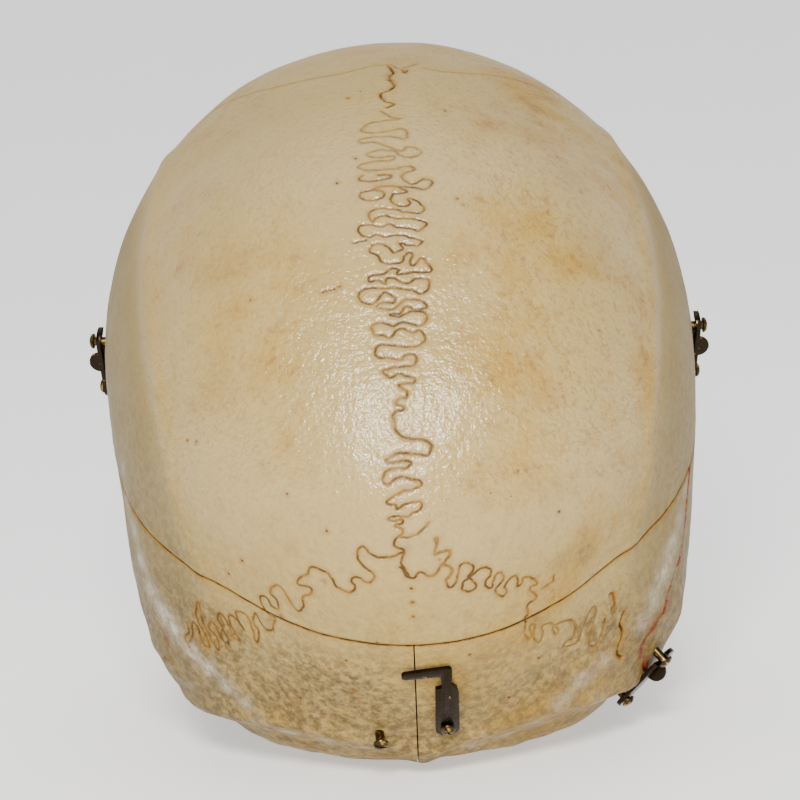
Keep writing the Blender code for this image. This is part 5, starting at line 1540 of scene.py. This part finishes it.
@dataclass
class Teeth:
    """A row of teeth, each with its own crown."""

    arch: Arch
    sides: int = 20
    cusp: float = 0.0007
    ridge: float = 0.0008
    canine_tip: float = 0.0009

    def crown(self, number: int, place: Sequence[float], along: Array) -> Body:
        """One tooth: a loft from the root past the neck to the biting edge or the cusps."""
        width, depth = self.arch.widths[number] / 2, self.arch.depths[number] / 2
        neck, tip = self.arch.necks[number], self.arch.tips[number]
        across = np.array((-along[1], along[0], 0.0))
        down = 1.0 if tip < neck else -1.0
        blade = 0.3 if number < 2 else 0.45 if number == 2 else 0.66
        square = 2.3 if number < 3 else 3.0
        rings, shares = [], []
        for share, wide, deep in ((-0.45, 0.6, 0.66), (0.0, 0.74, 0.8), (0.2, 0.9, 0.95), (0.45, 0.96, 0.98),
                                  (0.75, 0.93, (0.98 + blade) / 2), (0.94, 0.84, blade), (1.0, 0.62, blade * 0.72)):
            level = neck + share * (tip - neck)
            rows = ring((*place[:2], level), along * width * wide, across * depth * deep, self.sides, square)
            if share >= 0.94:
                turn = 2 * np.pi * np.arange(self.sides) / self.sides
                if number >= 5:
                    rows[:, 2] += down * self.cusp * -np.cos(4 * turn + np.pi) * (share > 0.95)
                elif number in (3, 4):
                    rows[:, 2] += down * self.ridge * np.cos(2 * turn)
                elif number == 2:
                    rows[:, 2] += down * self.canine_tip * np.abs(np.cos(turn))
            rings.append(rows)
            shares += [share] * self.sides
        if number >= 3:
            centre = (*place[:2], tip + down * 0.0012)
            rings.append(ring(centre, along * width * 0.25, across * depth * 0.25, self.sides))
            shares += [0.7] * self.sides
        made = loft("tooth", rings)
        Bench.paint(made, "crown", np.clip(np.array(shares), 0, 1))
        return Bench.modify(made, "SUBSURF", levels=1, render_levels=1)

    def row(self, side: Side) -> list[Body]:
        """The teeth of one side, each turned along the arch."""
        line = smooth_path(self.arch.line, 12)
        lengths = lengths_along(line)
        made, start = [], GAP
        for number, width in enumerate(self.arch.widths):
            middle = start + width / 2
            start += width
            here, ahead = spaced(line, lengths, np.array((middle, middle + 0.002)))
            along = unit(np.array((*(ahead - here), 0.0)))
            here[0] *= side.value
            along[0] *= side.value
            made.append(self.crown(number, here, along))
        return made

    def build(self, finish: bpy.types.Material, nodes: dict[Side, str]) -> None:
        """Makes the rows of both sides as pieces of their own."""
        for side, node in nodes.items():
            piece = Bench.join(f"{self.arch.name}_{side.name.lower()}", self.row(side))
            finish_piece(piece, finish, [node], 60)


@dataclass
class Jaw:
    """The lower jaw."""

    shades: Shades
    voxel: float = 0.0008

    def rims(self) -> list[Body]:
        """The body of the jaw: its lower rim, its middle and the bed of its teeth."""
        pieces = bars("jaw_lower_rim", [
            (0, -83, -86.2, 6.5, 6.5), (14, -80, -85, 6.5, 6.5), (27.5, -66, -76.8, 5.8, 5.8),
            (36.5, -48, -67.7, 5.2, 5.2), (44, -30, -59, 5, 5), (47.8, -16, -53.5, 4.2, 4.5),
            (49, -7, -43, 3.8, 4.2), (49, -6, -32, 3.5, 3.8),
        ])
        pieces += bars("jaw_middle", [
            (0, -86.5, -75, 5.2, 10), (14, -82.5, -74.5, 5.6, 10), (24.5, -70, -71, 5.8, 9.5),
            (31.5, -53.5, -66, 5.8, 9), (38, -38, -60, 5.6, 9), (43.5, -24, -53, 4.8, 9),
        ])
        pieces += bars("jaw_tooth_bed", [
            (0, -88.5, -65.5, 4.6, 8.5), (13, -84.5, -66, 5, 8.5), (20.5, -75, -65.5, 5.4, 8.5),
            (25.8, -60, -64, 5.8, 8), (30, -44, -61, 5.8, 7.5), (35, -32, -56, 5, 7), (42, -26, -50, 4, 7),
        ])
        pieces.append(knob("chin_knob", (0.0, -87.5, -85), (10.5, 4.8, 6.8)))
        pieces += knobs("chin_corner", (13.5, -83.5, -88), (7, 5, 4.5))
        return pieces

    def branches(self) -> list[Body]:
        """The upright branches with their two ends."""
        pieces = bars("ramus", [
            (45.5, -17, -56, 4.2, 12), (47.2, -20.5, -43, 3.8, 16), (48, -23, -30, 3.4, 16.5),
            (48, -24, -21.5, 3, 14.5),
        ], up=FORWARD, squareness=3.0)
        pieces += bars("coronoid", [
            (47.5, -32, -27, 3, 7.5), (46.8, -34, -17, 2.4, 5.5), (46, -36, -9, 1.6, 2.4),
        ], up=FORWARD)
        pieces += bars("jaw_neck", [
            (48.5, -15, -27, 3.2, 7.5), (49.2, -13, -17, 4.5, 4.8), (49.5, -12, -10.5, 7.2, 4),
        ], up=FORWARD)
        return pieces + knobs("jaw_head", (49.5, -11.7, -8), (9.2, 4.2, 4.2), (0, 0, -10))

    def build(self, finish: bpy.types.Material) -> None:
        """Makes the jaw, melted into one bone, with the holes of its nerves."""
        jaw = Bench.join("jaw", self.rims() + self.branches())
        Bench.melt(jaw, self.voxel, 4)
        holes = Bench.join("holes", knobs("chin_hole", (28.5, -74, -71.5), (4, 1.8, 1.4), (0, 0, -40))
                           + knobs("jaw_hole", (44, -22, -35), (3, 2.2, 3.5)))
        Bench.cut(jaw, holes)
        Bench.melt(jaw, self.voxel, 2)
        Bench.cut(jaw, below_floor())
        Bench.largest(jaw)
        self.shades.put_on(jaw)
        Bench.paint(jaw, "seam", np.full(len(jaw.data.vertices), 9.0))
        Bench.paint(jaw, "seam_tone", np.zeros(len(jaw.data.vertices)))
        finish_piece(jaw, finish, ["mandible"], 42)


class HookForm(Enum):
    """The outlines of the hook plates."""

    SHORT = "short, its claw open to the front"
    SHORT_TURNED = "short, its claw open to the back"
    LONG = "long, with an arm at its end"


@dataclass
class Hook:
    """One hook latch: a swinging plate on its screw, and the post that it catches."""

    name: str
    screw: Point
    end: Point
    post: Point
    form: HookForm
    tab: tuple[float, float] | None
    half_width: float = 0.0023
    long_half_width: float = 0.00285
    thickness: float = 0.001
    sink: float = 0.0
    tab_radius: float = 0.0026
    screw_radius: float = 0.0009
    screw_head: float = 0.00165
    post_radius: float = 0.00105
    post_head: float = 0.0018
    post_rise: float = 0.003
    edge: float = 0.00016
    depth: float = 0.006

    @staticmethod
    def arc(centre: Point, radius: float, start: float, end: float, steps: int = 18) -> list[tuple[float, float]]:
        """Points on an arc between two angles in degrees."""
        angles = np.radians(np.linspace(start, end, steps))
        return [(centre[0] + radius * math.cos(a), centre[1] + radius * math.sin(a)) for a in angles]

    def outline(self, length: float) -> list[tuple[float, float]]:
        """The plate seen from outside, from its screw at the origin along its length."""
        if self.form is HookForm.LONG:
            wide = self.long_half_width
            outline = self.arc((0, 0), wide, 110, 250)
            outline += [(length * 0.58, -wide * 0.92), (length * 0.66, -wide * 0.8), (length * 0.72, -0.0011)]
            outline += self.arc((length - 0.0011, -0.0003), 0.001, -80, 10, 6)
            outline += self.arc((length - 0.0016, wide + 0.006), 0.001, 20, 170, 9)
            outline += self.arc((length - 0.0036, 0.0021), 0.0009, 20, -70, 6)
            outline += [(length * 0.69, 0.001), (length * 0.68, 0.0012), (length * 0.67, wide * 0.86)]
            return outline
        slot = self.post_radius + GAP
        outline = self.arc((0, 0), self.half_width, 90, 270)
        outline += self.arc((length, 0), self.half_width + 0.0009, -90, 40)
        outline += self.arc((length, 0), slot, 15, -180)
        outline += [(length - slot, self.half_width - 0.0004)]
        turn = -1 if self.form is HookForm.SHORT_TURNED else 1
        return [(u, v * turn) for u, v in outline]

    @staticmethod
    def turned(name: str, profile: Sequence[Point], sides: int = 36) -> Body:
        """A turned piece on the z axis from its radius and height pairs."""
        return loft(name, [ring((0, 0, z), (radius, 0, 0), (0, radius, 0), sides) for radius, z in profile])

    def pin(self, name: str, radius: float, foot: float, seat: float, head: float, turn: float) -> Body:
        """A screw or a post: a shank with a domed, slotted head.

        Args:
            name: the object's name.
            radius: the shank's radius.
            foot: where the shank starts, down in the bone.
            seat: where the head starts.
            head: the head's radius.
            turn: how far the slot is turned, in degrees.

        Returns:
            The pin, on the z axis.
        """
        made = self.turned(name, [
            (radius, foot), (radius, seat - 0.0001), (head * 0.94, seat), (head, seat + 0.00012),
            (head, seat + 0.0003), (head * 0.93, seat + 0.00055), (head * 0.76, seat + 0.0008),
            (head * 0.48, seat + 0.001), (head * 0.15, seat + 0.00108),
        ])
        slot = block("slot", (-0.004, -0.00022, seat + 0.00055), (0.004, 0.00022, seat + 0.004))
        slot.data.transform(Matrix.Rotation(math.radians(turn), 4, "Z"))
        return Bench.cut(made, slot)

    def build(self, tree: BVHTree, plate_finish: bpy.types.Material, pin_finish: bpy.types.Material) -> None:
        """Makes the plate, the screw and the post, set on the bone that the tree holds."""
        middle = POSE @ Vector(VAULT_MIDDLE)
        outward = ((POSE @ Vector(self.screw) + POSE @ Vector(self.end)) / 2 - middle).normalized()

        def seated(point: Point) -> Vector:
            """The place on the bone under this point."""
            return tree.ray_cast(POSE @ Vector(point) + outward * 0.03, -outward)[0]

        foot, head = seated(self.screw), seated(self.end)
        along = (head - foot).normalized()
        across = outward.cross(along).normalized()
        outward = along.cross(across)
        place = Matrix((along, across, outward)).transposed().to_4x4()
        place.translation = foot
        length = (head - foot).length
        form = self.outline(length)
        heights = [0.0]
        for u, v in form + [(u, v * 0.6) for u, v in form] + [(length * s, 0.0) for s in (0.2, 0.4, 0.6, 0.8, 1.0)]:
            hit = tree.ray_cast(place @ Vector((u, v, 0.03)), -outward)[0]
            if hit:
                heights.append((place.inverted() @ hit).z)
        low = max(heights) + 1.5 * GAP - self.sink
        top = low + self.thickness

        plate = prism("plate", form, "xy", low, top)
        Bench.cut(plate, self.turned("hole", [(0.0012, low - 0.002), (0.0012, top + 0.002)]))
        Bench.modify(plate, "BEVEL", width=self.edge, segments=2, limit_method="ANGLE", angle_limit=math.radians(40))
        parts = [plate]
        if self.tab:
            share, offset = self.tab
            centre = (length * share, top)
            form = [(centre[0] - self.tab_radius, low + 0.0003), *self.arc(centre, self.tab_radius, 180, 0, 30)]
            form.append((centre[0] + self.tab_radius, low + 0.0003))
            tab = prism("tab", form, "xz", offset - 0.0004, offset + 0.0004)
            parts.append(Bench.modify(tab, "BEVEL", width=self.edge, segments=2, limit_method="ANGLE"))
        plate = Bench.join(f"{self.name}_plate", parts)
        screw = self.pin(f"{self.name}_screw", self.screw_radius, -self.depth, top + GAP, self.screw_head, 25)
        seat = place.inverted() @ seated(self.post)
        lowest = 0.0 if self.form is HookForm.LONG else top + GAP
        high = max(seat.z + self.post_rise, lowest)
        post = self.pin(f"{self.name}_post", self.post_radius, seat.z - self.depth, high, self.post_head, 70)
        post.data.transform(Matrix.Translation((seat.x, seat.y, 0.0)))
        finish_piece(plate, plate_finish, [plate.name.replace(".001", "")], 35, place)
        for pin in (screw, post):
            finish_piece(pin, pin_finish, [pin.name.replace(".001", "")], 35, place)


HOOKS = (
    Hook("left_hook", (0.065, -0.012, 0.0388), (0.064, -0.012, 0.052), (0.064, -0.012, 0.052),
         HookForm.SHORT, (0.62, -0.0017)),
    Hook("right_hook", (-0.0655, -0.0055, 0.0384), (-0.0645, -0.0055, 0.0516), (-0.0645, -0.0055, 0.0516),
         HookForm.SHORT_TURNED, (0.62, 0.0017)),
    Hook("back_hook", (-0.0047, 0.0838, 0.0125), (-0.0047, 0.0882, 0.0337), (0.0104, 0.0815, 0.009),
         HookForm.LONG, None),
    Hook("block_hook", (-0.0461, 0.0561, -0.0071), (-0.0535, 0.0545, 0.005), (-0.0535, 0.0545, 0.005),
         HookForm.SHORT, (0.7, -0.0017), sink=0.0011),
)


@dataclass
class Studio:
    """The pale floor, the soft lights and the camera."""

    picture: Picture

    def floor(self) -> None:
        """A wide pale light table that sweeps up far behind the skull."""
        bpy.ops.mesh.primitive_grid_add(x_subdivisions=8, y_subdivisions=60, size=9.0)
        sweep = Bench.named("floor")
        rows = Bench.points(sweep)
        start, radius = -1.6, 1.2
        beyond = np.clip(start - rows[:, 1], 0, None)
        turn = np.clip(beyond / radius, 0, np.pi / 2)
        rows[:, 1] = np.where(beyond > 0, start - radius * np.sin(turn), rows[:, 1])
        rows[:, 2] = radius * (1 - np.cos(turn)) + np.clip(beyond - radius * np.pi / 2, 0, None)
        Bench.set_points(sweep, rows)
        Bench.pick(sweep)
        bpy.ops.object.shade_smooth()
        paper, nodes, shader = new_material("paper", PAPER)
        glow = {"Emission Color": WHITE, "Emission Strength": 0.6}
        nodes.feed(shader, {"Base Color": PAPER, "Roughness": 0.9, **glow})
        sweep.data.materials.append(paper)

    @staticmethod
    def lamp(name: str, place: Point, aim: Point, size: tuple[float, float], power: float, colour: Point) -> None:
        """One soft box, aimed at a point."""
        data = bpy.data.lights.new(name, "AREA")
        data.shape = "RECTANGLE"
        data.size, data.size_y = size
        data.energy = power
        data.color = colour
        made = bpy.data.objects.new(name, data)
        made.location = place
        made.rotation_mode = "QUATERNION"
        made.rotation_quaternion = (Vector(place) - Vector(aim)).to_track_quat("Z", "Y")
        bpy.context.scene.collection.objects.link(made)

    def lights(self) -> None:
        """A soft box over the camera, a wide one above, and the white room."""
        aim = (0.0, 0.02, 0.08)
        self.lamp("camera_box", (0.06, 1.02, 0.54), aim, (0.22, 0.15), 17.5, (1.0, 0.985, 0.96))
        self.lamp("top_box", (0.0, -0.3, 1.5), aim, (1.4, 1.2), 9.0, WHITE[:3])
        world = bpy.data.worlds.new("room")
        world.use_nodes = True
        world.node_tree.nodes["Background"].inputs[0].default_value = WHITE
        world.node_tree.nodes["Background"].inputs[1].default_value = 0.4
        bpy.context.scene.world = world

    def build(self) -> None:
        """Sets up the whole studio."""
        self.floor()
        self.lights()
        self.picture.camera()


def main() -> None:
    """Builds every piece of the skull and the studio round it."""
    logging.basicConfig(level=logging.INFO, format="%(message)s")
    picture = Picture()
    Studio(picture).build()
    vault, cuts = Vault(), Cuts()
    seams, shades = Seams(vault, picture, cuts), Shades(vault, cuts, picture)
    groups = {
        "mottle": effect("bone_mottle", ("Clouds", "Stains", "Flecks"), mottle),
        "pores": effect("bone_pores", ("Hole", "Height"), pores),
    }
    bone, enamel = BoneFinish().material(groups), ToothFinish().material()
    cranium = Cranium(vault, seams, cuts, shades)
    skull = [cranium.cap(bone), *cranium.base(bone)]
    Jaw(shades).build(bone)
    Teeth(UPPER_ARCH).build(enamel, {Side.LEFT: "maxilla_left", Side.RIGHT: "maxilla_right"})
    Teeth(LOWER_ARCH).build(enamel, {Side.LEFT: "mandible", Side.RIGHT: "mandible"})
    corners, faces = [], []
    for piece in skull:
        faces += [[i + len(corners) for i in polygon.vertices] for polygon in piece.data.polygons]
        corners += [vertex.co.copy() for vertex in piece.data.vertices]
    tree = BVHTree.FromPolygons(corners, faces)
    black = BrassFinish("hook_brass", (0.022, 0.015, 0.009, 1.0)).material()
    brass = BrassFinish("post_brass", (0.055, 0.036, 0.013, 1.0), (0.42, 0.27, 0.09, 1.0), wear=0.5).material()
    for hook in HOOKS:
        hook.build(tree, black, brass)


if __name__ == "__main__":
    main()
